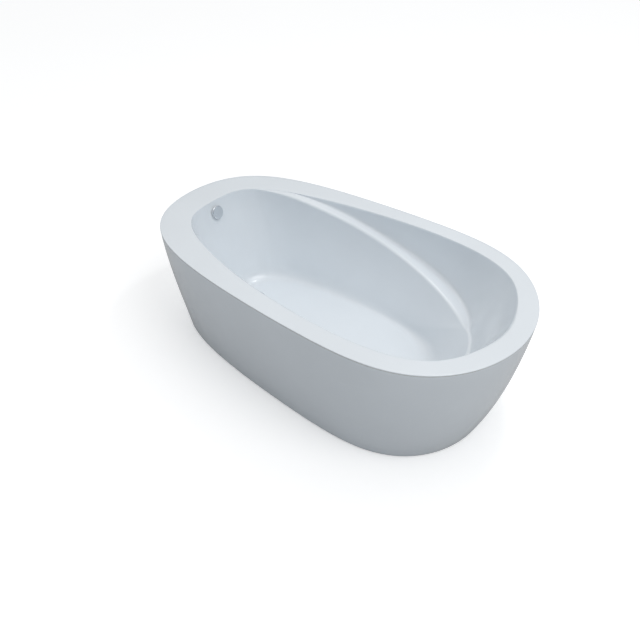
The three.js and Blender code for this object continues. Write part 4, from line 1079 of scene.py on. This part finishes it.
class TUB_OT_overflow(bpy.types.Operator):
    """Builds the overflow's flange, gasket and moulded body behind the wall"""

    bl_idname = "tub.overflow"
    bl_label = "Overflow"

    def execute(self, context):
        self.flange()
        back = GASKET_FRONT - GASKET_THICK
        gasket = ring(SLEEVE_RADIUS + 0.001, BODY_RADIUS + 0.003, back, GASKET_FRONT, 0.001)
        settle(new_object(new_mesh("overflow_gasket_rounded", [on_overflow_axis(gasket)])), "overflow_gasket")
        self.body()
        return {"FINISHED"}

    def flange(self):
        corners = [(SLEEVE_BORE, -SLEEVE_LENGTH), (SLEEVE_RADIUS, -SLEEVE_LENGTH), (SLEEVE_RADIUS, GAP),
                   (FLANGE_RADIUS, GAP), (FLANGE_RADIUS - 0.001, FLANGE_THICK), (SLEEVE_BORE, FLANGE_THICK)]
        sleeve = on_overflow_axis((turned(profile(corners, 0.0007)), True))
        piece = new_object(new_mesh("overflow_flange_plated", [sleeve]))
        hub_hole = SPINDLE_RADIUS + STEM_CLEARANCE
        guide = spider(SLEEVE_BORE, hub_hole + HUB_WALL, -HUB_TALL, 0)
        arms = [("UNION", [on_overflow_axis(grid)]) for grid in guide]
        bore = on_overflow_axis(rod(hub_hole, -HUB_TALL - PAST_WALL, PAST_WALL))
        settle(carved(piece, [*arms, ("DIFFERENCE", [bore])]), "overflow_flange")

    def body(self):
        """A turned cup with six stiffening ribs, a barbed hose spigot below and a cable boss at the side."""
        bore = SLEEVE_RADIUS + GAP
        back = BODY_BACK + BODY_WALL
        side = BODY_RADIUS - 0.0015
        corners = [(0, BODY_BACK), (BODY_RADIUS - 0.004, BODY_BACK), (side, BODY_BACK + 0.004),
                   (side, BODY_FRONT - 0.006), (BODY_RADIUS, BODY_FRONT - 0.005),
                   (BODY_RADIUS, BODY_FRONT), (bore, BODY_FRONT), (bore, back), (0, back)]
        cup = turned(profile(corners, 0.001, closed=False))
        piece = new_object(new_mesh("overflow_body_moulded", [on_overflow_axis((cup, False))]))
        low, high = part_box("overflow_body")
        x, z = OUTLET_X, OUTLET_Z
        spigot, _ = spigot_grid(low.z - z, -bore + PAST_WALL)
        boss = boss_grid(bore + PAST_WALL, high.y)
        inside = on_overflow_axis(rod(bore, back, BODY_FRONT + PAST_WALL, steps=ROUND_STEPS))
        way, _ = rod(SPIGOT_BORE, low.z - z - PAST_WALL, 0.0)
        ribs = [("UNION", [on_overflow_axis(rib)]) for rib in self.ribs()]
        tools = [("UNION", [(moved(spigot, x, 0, z), False)]), ("UNION", [upright_y(boss, x, z)]), *ribs,
                 ("DIFFERENCE", [inside]), ("DIFFERENCE", [(moved(way, x, 0, z), False)])]
        settle(carved(piece, tools), "overflow_body")

    def ribs(self):
        """Three flat bars through the axis, a sixth of a turn apart, whose ends show as six ribs."""
        reach, half = BODY_RADIUS - 0.0002, 0.0009
        bars = []
        for turn in (TURN / 12, TURN / 4, -TURN / 12):
            rows, wrap = bar((-reach, -half, BODY_BACK + 0.002), (reach, half, BODY_FRONT - 0.005), 0.0004)
            x = rows[..., 0] * math.cos(turn) - rows[..., 1] * math.sin(turn)
            y = rows[..., 0] * math.sin(turn) + rows[..., 1] * math.cos(turn)
            bars.append((np.stack([x, y, rows[..., 2]], axis=-1), wrap))
        return bars


def spigot_grid(low, high):
    """A spigot along Z with barbs towards its low end, each a slow rise and a steep fall of the radius."""
    tip = SPIGOT_RADIUS - BARB_DEPTH
    corners = [(0, low), (tip, low)]
    for barb in range(SPIGOT_BARBS):
        start = low + 0.0015 + barb * BARB_PITCH
        corners += [(SPIGOT_RADIUS, start + 0.0038), (tip, start + 0.0042)]
    corners += [(tip, high), (0, high)]
    return turned(profile(corners, 0.0003, closed=False), ROUND_STEPS), False


def boss_grid(low, high):
    """A cable boss along Z with a collar near its end."""
    r, thin = BOSS_RADIUS, BOSS_RADIUS - 0.001
    corners = [(0, low), (thin, low), (thin, high - 0.012), (r, high - 0.011), (r, high - 0.006),
               (thin, high - 0.005), (thin, high), (0, high)]
    return turned(profile(corners, 0.0003, closed=False), SMALL_STEPS), False


KNOB_LOW, KNOB_HIGH, KNOB_RADIUS, KNOB_WALL = 0.004, 0.012, 0.031, 0.0025
KNOB_BEVEL, KNOB_CROWN = 0.0014, 0.0004
KNOB_HUB_RADIUS = SPINDLE_RADIUS + 0.004
KNOB_HUB_LOW = KNOB_LOW + 0.001
SPINDLE_END = KNOB_HUB_LOW + 0.004
CAM_BACK, CAM_RADIUS, CAM_THICK = -0.018, 0.014, 0.004
CAM_PIN_RADIUS, CAM_PIN_LENGTH, CAM_PIN_PLACE = 0.002, 0.008, 0.010


class TUB_OT_knob(bpy.types.Operator):
    """Builds the round chrome knob over the overflow, its spindle and its cam"""

    bl_idname = "tub.knob"
    bl_label = "Knob"

    def execute(self, context):
        self.knob()
        spindle = rod(SPINDLE_RADIUS, CAM_BACK, SPINDLE_END, 0.0008)
        settle(new_object(new_mesh("knob_spindle_turned", [on_overflow_axis(spindle)])), "knob_spindle")
        self.cam()
        return {"FINISHED"}

    def knob(self):
        """A cup turned round the axis: a hub with the spindle's socket, a rim wall and a faintly crowned
        face with a bevelled edge."""
        inner = KNOB_RADIUS - KNOB_WALL
        socket, socket_end, under_face = SPINDLE_RADIUS + GAP, SPINDLE_END + GAP, KNOB_HIGH - KNOB_WALL
        corners = [(0, socket_end), (socket, socket_end), (socket, KNOB_HUB_LOW),
                   (KNOB_HUB_RADIUS, KNOB_HUB_LOW), (KNOB_HUB_RADIUS, under_face), (inner, under_face),
                   (inner, KNOB_LOW), (KNOB_RADIUS, KNOB_LOW), (KNOB_RADIUS, KNOB_HIGH - KNOB_BEVEL),
                   (KNOB_RADIUS - KNOB_BEVEL, KNOB_HIGH), (KNOB_RADIUS - 0.004, KNOB_HIGH),
                   (0, KNOB_HIGH - KNOB_CROWN)]
        cuts = np.full(len(corners) - 2, 0.0007)
        cuts[-3:] = (0.0010, 0.0010, 0.0020)
        chain = [np.array([corner], float) for corner in corners]
        rows = turned(rounded(chain, cuts, 5)[:, 0], FINE_STEPS)
        mesh = new_mesh("overflow_knob_plated", [on_overflow_axis((rows, False))], 50)
        settle(new_object(mesh), "overflow_knob")

    def cam(self):
        """A disc on the spindle's end with the round pin that pulls the cable."""
        disc = ring(SPINDLE_RADIUS + GAP, CAM_RADIUS, CAM_BACK, CAM_BACK + CAM_THICK, 0.0006)
        rows, wrap = rod(CAM_PIN_RADIUS, CAM_BACK - CAM_PIN_LENGTH, CAM_BACK + CAM_THICK / 2, 0.0005)
        pin = on_overflow_axis((moved(rows, CAM_PIN_PLACE), wrap))
        piece = new_object(new_mesh("knob_cam_moulded", [on_overflow_axis(disc)]))
        settle(carved(piece, [("UNION", [pin])]), "knob_cam")


# ---- Hose and cable ----
HOSE_RADIUS, HOSE_BORE, HOSE_BEND = 0.017, 0.015, 0.110
HOSE_PLAIN_END, RIB_DEPTH, RIB_PITCH = 0.020, 0.0007, 0.0055
CABLE_RADIUS, CABLE_OUT, CABLE_BEND, CABLE_END_BEND = 0.003, 0.018, 0.070, 0.012
WASTE_SIDE_Z = 0.053
OUTLET_RADIUS, OUTLET_LOW = 0.020, 0.008
NUT_GRIPS, NUT_GRIP_DEPTH = 28, 0.0011


def route(corners, bends):
    """A line through corners, each rounded by its own bend."""
    chain = [np.array([corner], float) for corner in corners]
    return rounded(chain, bends, 12, 6)[:, 0]


def knurled(inner, outer, low, high):
    """A hand nut: a ring whose outside shrinks by a cosine of the angle, which makes its grips, less so
    towards both faces by the sixth power of the height from the middle."""
    rows, wrap = ring(inner, outer, low, high, 0.0012, steps=NUT_GRIPS * 6)
    a = np.arctan2(rows[..., 1], rows[..., 0])
    r = np.linalg.norm(rows[..., :2], axis=-1)
    middle = 1 - np.abs((rows[..., 2] - (low + high) / 2) / ((high - low) / 2)) ** 6
    depth = NUT_GRIP_DEPTH * (0.5 + 0.5 * np.cos(NUT_GRIPS * a)) * (r > (inner + outer) / 2) * middle
    rows[..., :2] *= (1 - depth / r)[..., None]
    return rows, wrap


class TUB_OT_plumbing(bpy.types.Operator):
    """Builds the ribbed overflow hose, its hand nuts and the drain cable"""

    bl_idname = "tub.plumbing"
    bl_label = "Hose and cable"

    def execute(self, context):
        self.hose()
        for node in ("hose_nut_top", "hose_nut_end", "waste_outlet_nut"):
            self.nut(node)
        self.cable()
        return {"FINISHED"}

    def hose(self):
        """Radius is the mean of the hose plus a small cosine of the length along it, flat at both ends."""
        low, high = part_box("overflow_hose")
        corners = [(OUTLET_X, 0, high.z), (OUTLET_X, 0, WASTE_SIDE_Z), (high.x, 0, WASTE_SIDE_Z)]
        path, long = evenly(route(corners, [HOSE_BEND]), 640)
        along = np.linspace(0, long, len(path))
        plain = 1 - eased((np.minimum(along, long - along) - HOSE_PLAIN_END) / 0.004)
        swell = RIB_DEPTH * np.cos(TURN * along / RIB_PITCH) * (1 - plain)
        grid = along_path(path, HOSE_RADIUS - RIB_DEPTH + swell, HOSE_BORE, 36)
        settle(new_object(new_mesh("overflow_hose_ribbed", [grid], 60)), "overflow_hose")

    def nut(self, node):
        low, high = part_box(node)
        middle = (low + high) / 2
        size = high - low
        lying = size.x < size.z
        radius, tall = size.y / 2, (size.x if lying else size.z)
        inner = (OUTLET_RADIUS if node == "waste_outlet_nut" else HOSE_RADIUS) + GAP
        rows, wrap = knurled(inner, radius, -tall / 2, tall / 2)
        if lying:
            rows = tipped(rows, (1, 0, 0))
        settle(new_object(new_mesh(f"{node}_moulded", [(moved(rows, *middle), wrap)])), node)

    def cable(self):
        """A round sleeve out from the overflow's boss, down beside the hose and in to the waste's boss."""
        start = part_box("drain_cable")[0].y
        out = start + CABLE_OUT
        corners = [(OUTLET_X, start, OUTLET_Z), (OUTLET_X, out, OUTLET_Z), (OUTLET_X, out, WASTE_SIDE_Z),
                   (DRAIN_X, out, WASTE_SIDE_Z), (DRAIN_X, start, WASTE_SIDE_Z)]
        path, _ = evenly(route(corners, [CABLE_END_BEND, CABLE_BEND, CABLE_END_BEND]), 160)
        sleeve = along_path(path, CABLE_RADIUS, None, 20)
        settle(new_object(new_mesh("drain_cable_sleeve", [sleeve])), "drain_cable")


# ---- Waste and stopper ----
THROAT_RADIUS, THROAT_BORE = 0.025, 0.023
DRAIN_FLANGE_THICK = 0.0025
DRAIN_FLANGE_TOP = FLOOR_TOP + GAP + DRAIN_FLANGE_THICK
STEM_RADIUS = 0.003
WASTE_RADIUS, WASTE_WALL, WASTE_FLOOR = 0.033, 0.003, 0.030
WASTE_NECK_TALL = 0.010
RECESS_RADIUS, RECESS_DEPTH = 0.0285, 0.0048
GUIDE_TOP, GUIDE_TALL, GUIDE_RADIUS = FLOOR_TOP - 0.014, 0.008, 0.007


class TUB_OT_waste(bpy.types.Operator):
    """Builds the drain's flange, gasket and moulded waste body"""

    bl_idname = "tub.waste"
    bl_label = "Waste"

    def execute(self, context):
        self.flange()
        low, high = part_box("drain_gasket")
        gasket = ring(DRAIN_HOLE_RADIUS, (high.x - low.x) / 2, low.z, high.z, 0.001)
        mesh = new_mesh("drain_gasket_rounded", [(moved(gasket[0], DRAIN_X), True)])
        settle(new_object(mesh), "drain_gasket")
        self.body()
        return {"FINISHED"}

    def flange(self):
        low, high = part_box("drain_flange")
        radius = (high.x - low.x) / 2
        face = FLOOR_TOP + GAP
        corners = [(THROAT_BORE, low.z), (THROAT_RADIUS, low.z), (THROAT_RADIUS, face), (radius, face),
                   (radius, face + 0.0008), (radius - 0.002, DRAIN_FLANGE_TOP),
                   (RECESS_RADIUS, DRAIN_FLANGE_TOP), (THROAT_BORE, DRAIN_FLANGE_TOP - RECESS_DEPTH)]
        rows = turned(profile(corners, 0.0005), FINE_STEPS)
        piece = new_object(new_mesh("drain_flange_plated", [(moved(rows, DRAIN_X), True)]))
        guide = spider(THROAT_BORE, GUIDE_RADIUS, GUIDE_TOP - GUIDE_TALL, GUIDE_TOP)
        arms = [("UNION", [(moved(grid, DRAIN_X), wrap)]) for grid, wrap in guide]
        low_end = GUIDE_TOP - GUIDE_TALL - PAST_WALL
        bore, _ = rod(STEM_RADIUS + STEM_CLEARANCE, low_end, GUIDE_TOP + PAST_WALL)
        settle(carved(piece, [*arms, ("DIFFERENCE", [(moved(bore, DRAIN_X), False)])]), "drain_flange")

    def body(self):
        """A turned cup under the drain with a barbed inlet, a cable boss and the outlet pipe below."""
        low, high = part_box("waste_body")
        neck, inside, top = THROAT_RADIUS + GAP, WASTE_RADIUS - WASTE_WALL, high.z
        side = WASTE_RADIUS - 0.001
        corners = [(0, WASTE_FLOOR), (WASTE_RADIUS - 0.004, WASTE_FLOOR), (side, WASTE_FLOOR + 0.005),
                   (side, top - 0.006), (WASTE_RADIUS, top - 0.005), (WASTE_RADIUS, top), (neck, top),
                   (neck, top - WASTE_NECK_TALL), (inside, top - WASTE_NECK_TALL),
                   (inside, WASTE_FLOOR + WASTE_WALL), (0, WASTE_FLOOR + WASTE_WALL)]
        cup = turned(profile(corners, 0.0009, closed=False))
        piece = new_object(new_mesh("waste_body_moulded", [(moved(cup, DRAIN_X), False)]))
        reach = inside + PAST_WALL
        spigot, _ = spigot_grid(low.x - DRAIN_X, -reach)
        spigot = moved(tipped(spigot, (1, 0, 0)), DRAIN_X, 0, WASTE_SIDE_Z)
        way, _ = rod(SPIGOT_BORE, low.x - DRAIN_X - PAST_WALL, PAST_WALL - inside)
        way = moved(tipped(way, (1, 0, 0)), DRAIN_X, 0, WASTE_SIDE_Z)
        boss = upright_y(boss_grid(reach, high.y), DRAIN_X, WASTE_SIDE_Z)
        outlet = moved(rod(OUTLET_RADIUS, OUTLET_LOW, WASTE_FLOOR + PAST_WALL, 0.0006)[0], DRAIN_X)
        way_low, way_high = OUTLET_LOW - PAST_WALL, WASTE_FLOOR + WASTE_WALL + PAST_WALL
        outlet_way = moved(rod(OUTLET_RADIUS - WASTE_WALL, way_low, way_high)[0], DRAIN_X)
        tools = [("UNION", [(spigot, False)]), ("UNION", [boss]), ("UNION", [(outlet, False)]),
                 ("DIFFERENCE", [(way, False)]), ("DIFFERENCE", [(outlet_way, False)])]
        settle(carved(piece, tools), "waste_body")


CAP_RADIUS, CAP_EDGE = 0.030, 0.0022
SEAL_RADIUS, SEAL_THICK = 0.025, 0.0025
PIN_HEAD_TALL = 0.002


class TUB_OT_stopper(bpy.types.Operator):
    """Builds the pop-up stopper's domed cap, lipped seal, stem and lift pin"""

    bl_idname = "tub.stopper"
    bl_label = "Stopper"

    def execute(self, context):
        self.cap()
        self.seal()
        low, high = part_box("stopper_stem")
        self.place("stopper_stem", rod(STEM_RADIUS, low.z, high.z, 0.0006)[0], "turned")
        self.lift_pin()
        return {"FINISHED"}

    def cap(self):
        """A disc under a dome whose height falls with the radius to the power of 2.2."""
        low, high = DRAIN_FLANGE_TOP + GAP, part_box("stopper_cap")[1].z
        crown, shoulder = np.linspace(1, 0, 14), low + CAP_EDGE
        dome = [(CAP_RADIUS * 0.965 * r, shoulder + (high - low - CAP_EDGE) * (1 - r ** 2.2)) for r in crown]
        corners = [(0, low), (CAP_RADIUS - 0.0006, low), (CAP_RADIUS, low + 0.0008), *dome]
        rows = turned(profile(corners, 0.0004, closed=False, curve_steps=3), FINE_STEPS)
        self.place("stopper_cap", rows, "plated")

    def seal(self):
        """A washer with a groove under its outer lip."""
        high, low = DRAIN_FLANGE_TOP, DRAIN_FLANGE_TOP - SEAL_THICK
        corners = [(STEM_RADIUS + GAP, low), (0.0215, low), (0.0228, high - 0.0016),
                   (0.0236, high - 0.0021), (SEAL_RADIUS, high - 0.001), (SEAL_RADIUS, high),
                   (STEM_RADIUS + GAP, high)]
        self.place("stopper_seal", turned(profile(corners, 0.0004), 96), "lipped", wrap=True)

    def lift_pin(self):
        low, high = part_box("stopper_lift_pin")
        step, head = high.z - PIN_HEAD_TALL, 2 * STEM_RADIUS
        corners = [(0, low.z), (STEM_RADIUS, low.z), (STEM_RADIUS, step), (head, step), (head, high.z),
                   (0, high.z)]
        self.place("stopper_lift_pin", turned(profile(corners, 0.0005, closed=False), SMALL_STEPS), "turned")

    def place(self, node, rows, ending, wrap=False):
        settle(new_object(new_mesh(f"{node}_{ending}", [(moved(rows, DRAIN_X), wrap)])), node)


# ---- Studio ----
FLOOR_RINGS, FLOOR_SIDES, FLOOR_FIRST_RADIUS = 8, 64, 0.5
LIT_POINT = (0, 0, 0.3)
KEY_SIZE, KEY_PLACE = 5.5, (6.0, -0.3, 8.4)
SMALL_SIZE, SMALL_PLACE = 0.35, (0.6, 0.9, 3.2)
HORIZON_TINT = (0.42, 0.72, 1.0, 1.0)
WHITE = (1.0, 1.0, 1.0, 1.0)


class TUB_OT_studio(bpy.types.Operator):
    """Builds the pale floor, the soft light and the camera"""

    bl_idname = "tub.studio"
    bl_label = "Studio"

    def execute(self, context):
        studio = context.scene.tub_studio
        self.floor(studio)
        self.light(studio)
        self.surroundings(studio)
        self.camera(studio)
        context.scene.view_settings.view_transform = "Standard"
        return {"FINISHED"}

    def floor(self, studio):
        """A flat disc: rings whose radius doubles outwards."""
        radii = np.concatenate([[0], FLOOR_FIRST_RADIUS * 2.0 ** np.arange(FLOOR_RINGS)])
        a = TURN * np.arange(FLOOR_SIDES) / FLOOR_SIDES
        x, y = np.outer(radii, np.cos(a)), np.outer(radii, np.sin(a))
        points = np.stack([x, y, 0 * x], axis=-1)
        mesh = bpy.data.meshes.new("studio_floor")
        mesh.from_pydata(points.reshape(-1, 3), [], quads_of(len(radii), FLOOR_SIDES, False))
        floor = new_object(mesh)
        made = Finish("studio_floor", Specular_IOR_Level=0.0, Emission_Color=WHITE)
        seen = made.shader.node("ShaderNodeLightPath").outputs["Is Camera Ray"]
        glow = made.shader.maths("MULTIPLY", seen, studio.floor_glow)
        made.shader.feed(made.bsdf, "Emission Strength", glow)
        shade = made.shader.node("ShaderNodeTexNoise", Vector=made.place, Scale=1.5, Detail=2.0)
        plain = made.shader.blend(shade.outputs["Fac"], rgba(studio.floor, 0.995), rgba(studio.floor, 1.005))
        made.colour(made.shader.blend(seen, rgba(studio.floor, studio.floor_bounce), plain))
        made.rough(shade.outputs["Fac"], 0.85, 0.95)
        mesh.materials.append(made.material)

    def light(self, studio):
        for name, power, size, place in (("key_light", studio.key_power, KEY_SIZE, KEY_PLACE),
                                         ("small_light", studio.glint_power, SMALL_SIZE, SMALL_PLACE)):
            data = bpy.data.lights.new(name, "AREA")
            data.shape = "DISK"
            data.size = size
            data.energy = power
            lamp = bpy.data.objects.new(name, data)
            lamp.location = place
            lamp.rotation_mode = "QUATERNION"
            lamp.rotation_quaternion = (Vector(LIT_POINT) - Vector(place)).to_track_quat("-Z", "Y")
            bpy.context.scene.collection.objects.link(lamp)

    def surroundings(self, studio):
        """A plain sky that brightens smoothly from a bluish horizon to white overhead, and that the camera
        sees as plain white."""
        world = bpy.data.worlds.new("surroundings")
        world.use_nodes = True
        tree = world.node_tree
        tree.nodes.clear()
        shader = Shader(tree)
        way = shader.node("ShaderNodeTexCoord").outputs["Generated"]
        height = shader.node("ShaderNodeSeparateXYZ", Vector=way).outputs["Z"]
        glow = shader.ramp(height, 0.15, 1.0, studio.sky_low, studio.sky_top)
        tint = shader.blend(shader.ramp(height, 0.0, 0.5), HORIZON_TINT, WHITE)
        seen = shader.node("ShaderNodeLightPath").outputs["Is Camera Ray"]
        strength = shader.maths("MAXIMUM", glow, seen)
        colour = shader.blend(seen, tint, WHITE)
        background = shader.node("ShaderNodeBackground", Strength=strength, Color=colour)
        out = shader.node("ShaderNodeOutputWorld")
        tree.links.new(background.outputs[0], out.inputs["Surface"])
        bpy.context.scene.world = world

    def camera(self, studio):
        data = bpy.data.cameras.new("camera")
        data.sensor_width = 36.0
        data.lens = studio.lens
        camera = bpy.data.objects.new("camera", data)
        place, target = Vector(studio.camera_place), Vector(studio.camera_target)
        camera.location = place
        camera.rotation_mode = "QUATERNION"
        camera.rotation_quaternion = (target - place).to_track_quat("-Z", "Y")
        bpy.context.scene.collection.objects.link(camera)
        bpy.context.scene.camera = camera


# ---- Add-on ----
OPERATORS = (TUB_OT_studio, TUB_OT_basin, TUB_OT_skirt, TUB_OT_frame, TUB_OT_feet, TUB_OT_fasteners,
             TUB_OT_overflow, TUB_OT_knob, TUB_OT_plumbing, TUB_OT_waste, TUB_OT_stopper)


class TUB_PT_panel(bpy.types.Panel):
    """Lists the tub's sizes, finishes, studio and build steps"""

    bl_idname = "TUB_PT_panel"
    bl_label = "Bathtub"
    bl_space_type = "VIEW_3D"
    bl_region_type = "UI"
    bl_category = "Bathtub"

    def draw(self, context):
        for group in (context.scene.tub_sizes, context.scene.tub_finish, context.scene.tub_studio):
            box = self.layout.box()
            for name in group.__annotations__:
                box.prop(group, name)
        for operator in OPERATORS:
            self.layout.operator(operator.bl_idname)


CLASSES = (TubSizes, TubFinish, TubStudio, *OPERATORS, TUB_PT_panel)


def register():
    for item in CLASSES:
        bpy.utils.register_class(item)
    bpy.types.Scene.tub_sizes = bpy.props.PointerProperty(type=TubSizes)
    bpy.types.Scene.tub_finish = bpy.props.PointerProperty(type=TubFinish)
    bpy.types.Scene.tub_studio = bpy.props.PointerProperty(type=TubStudio)


def unregister():
    del bpy.types.Scene.tub_sizes
    del bpy.types.Scene.tub_finish
    del bpy.types.Scene.tub_studio
    for item in reversed(CLASSES):
        bpy.utils.unregister_class(item)


def main():
    register()
    bpy.ops.tub.studio()
    bpy.ops.tub.basin()
    bpy.ops.tub.skirt()
    bpy.ops.tub.frame()
    bpy.ops.tub.feet()
    bpy.ops.tub.fasteners()
    bpy.ops.tub.overflow()
    bpy.ops.tub.knob()
    bpy.ops.tub.plumbing()
    bpy.ops.tub.waste()
    bpy.ops.tub.stopper()


if __name__ == "__main__":
    main()
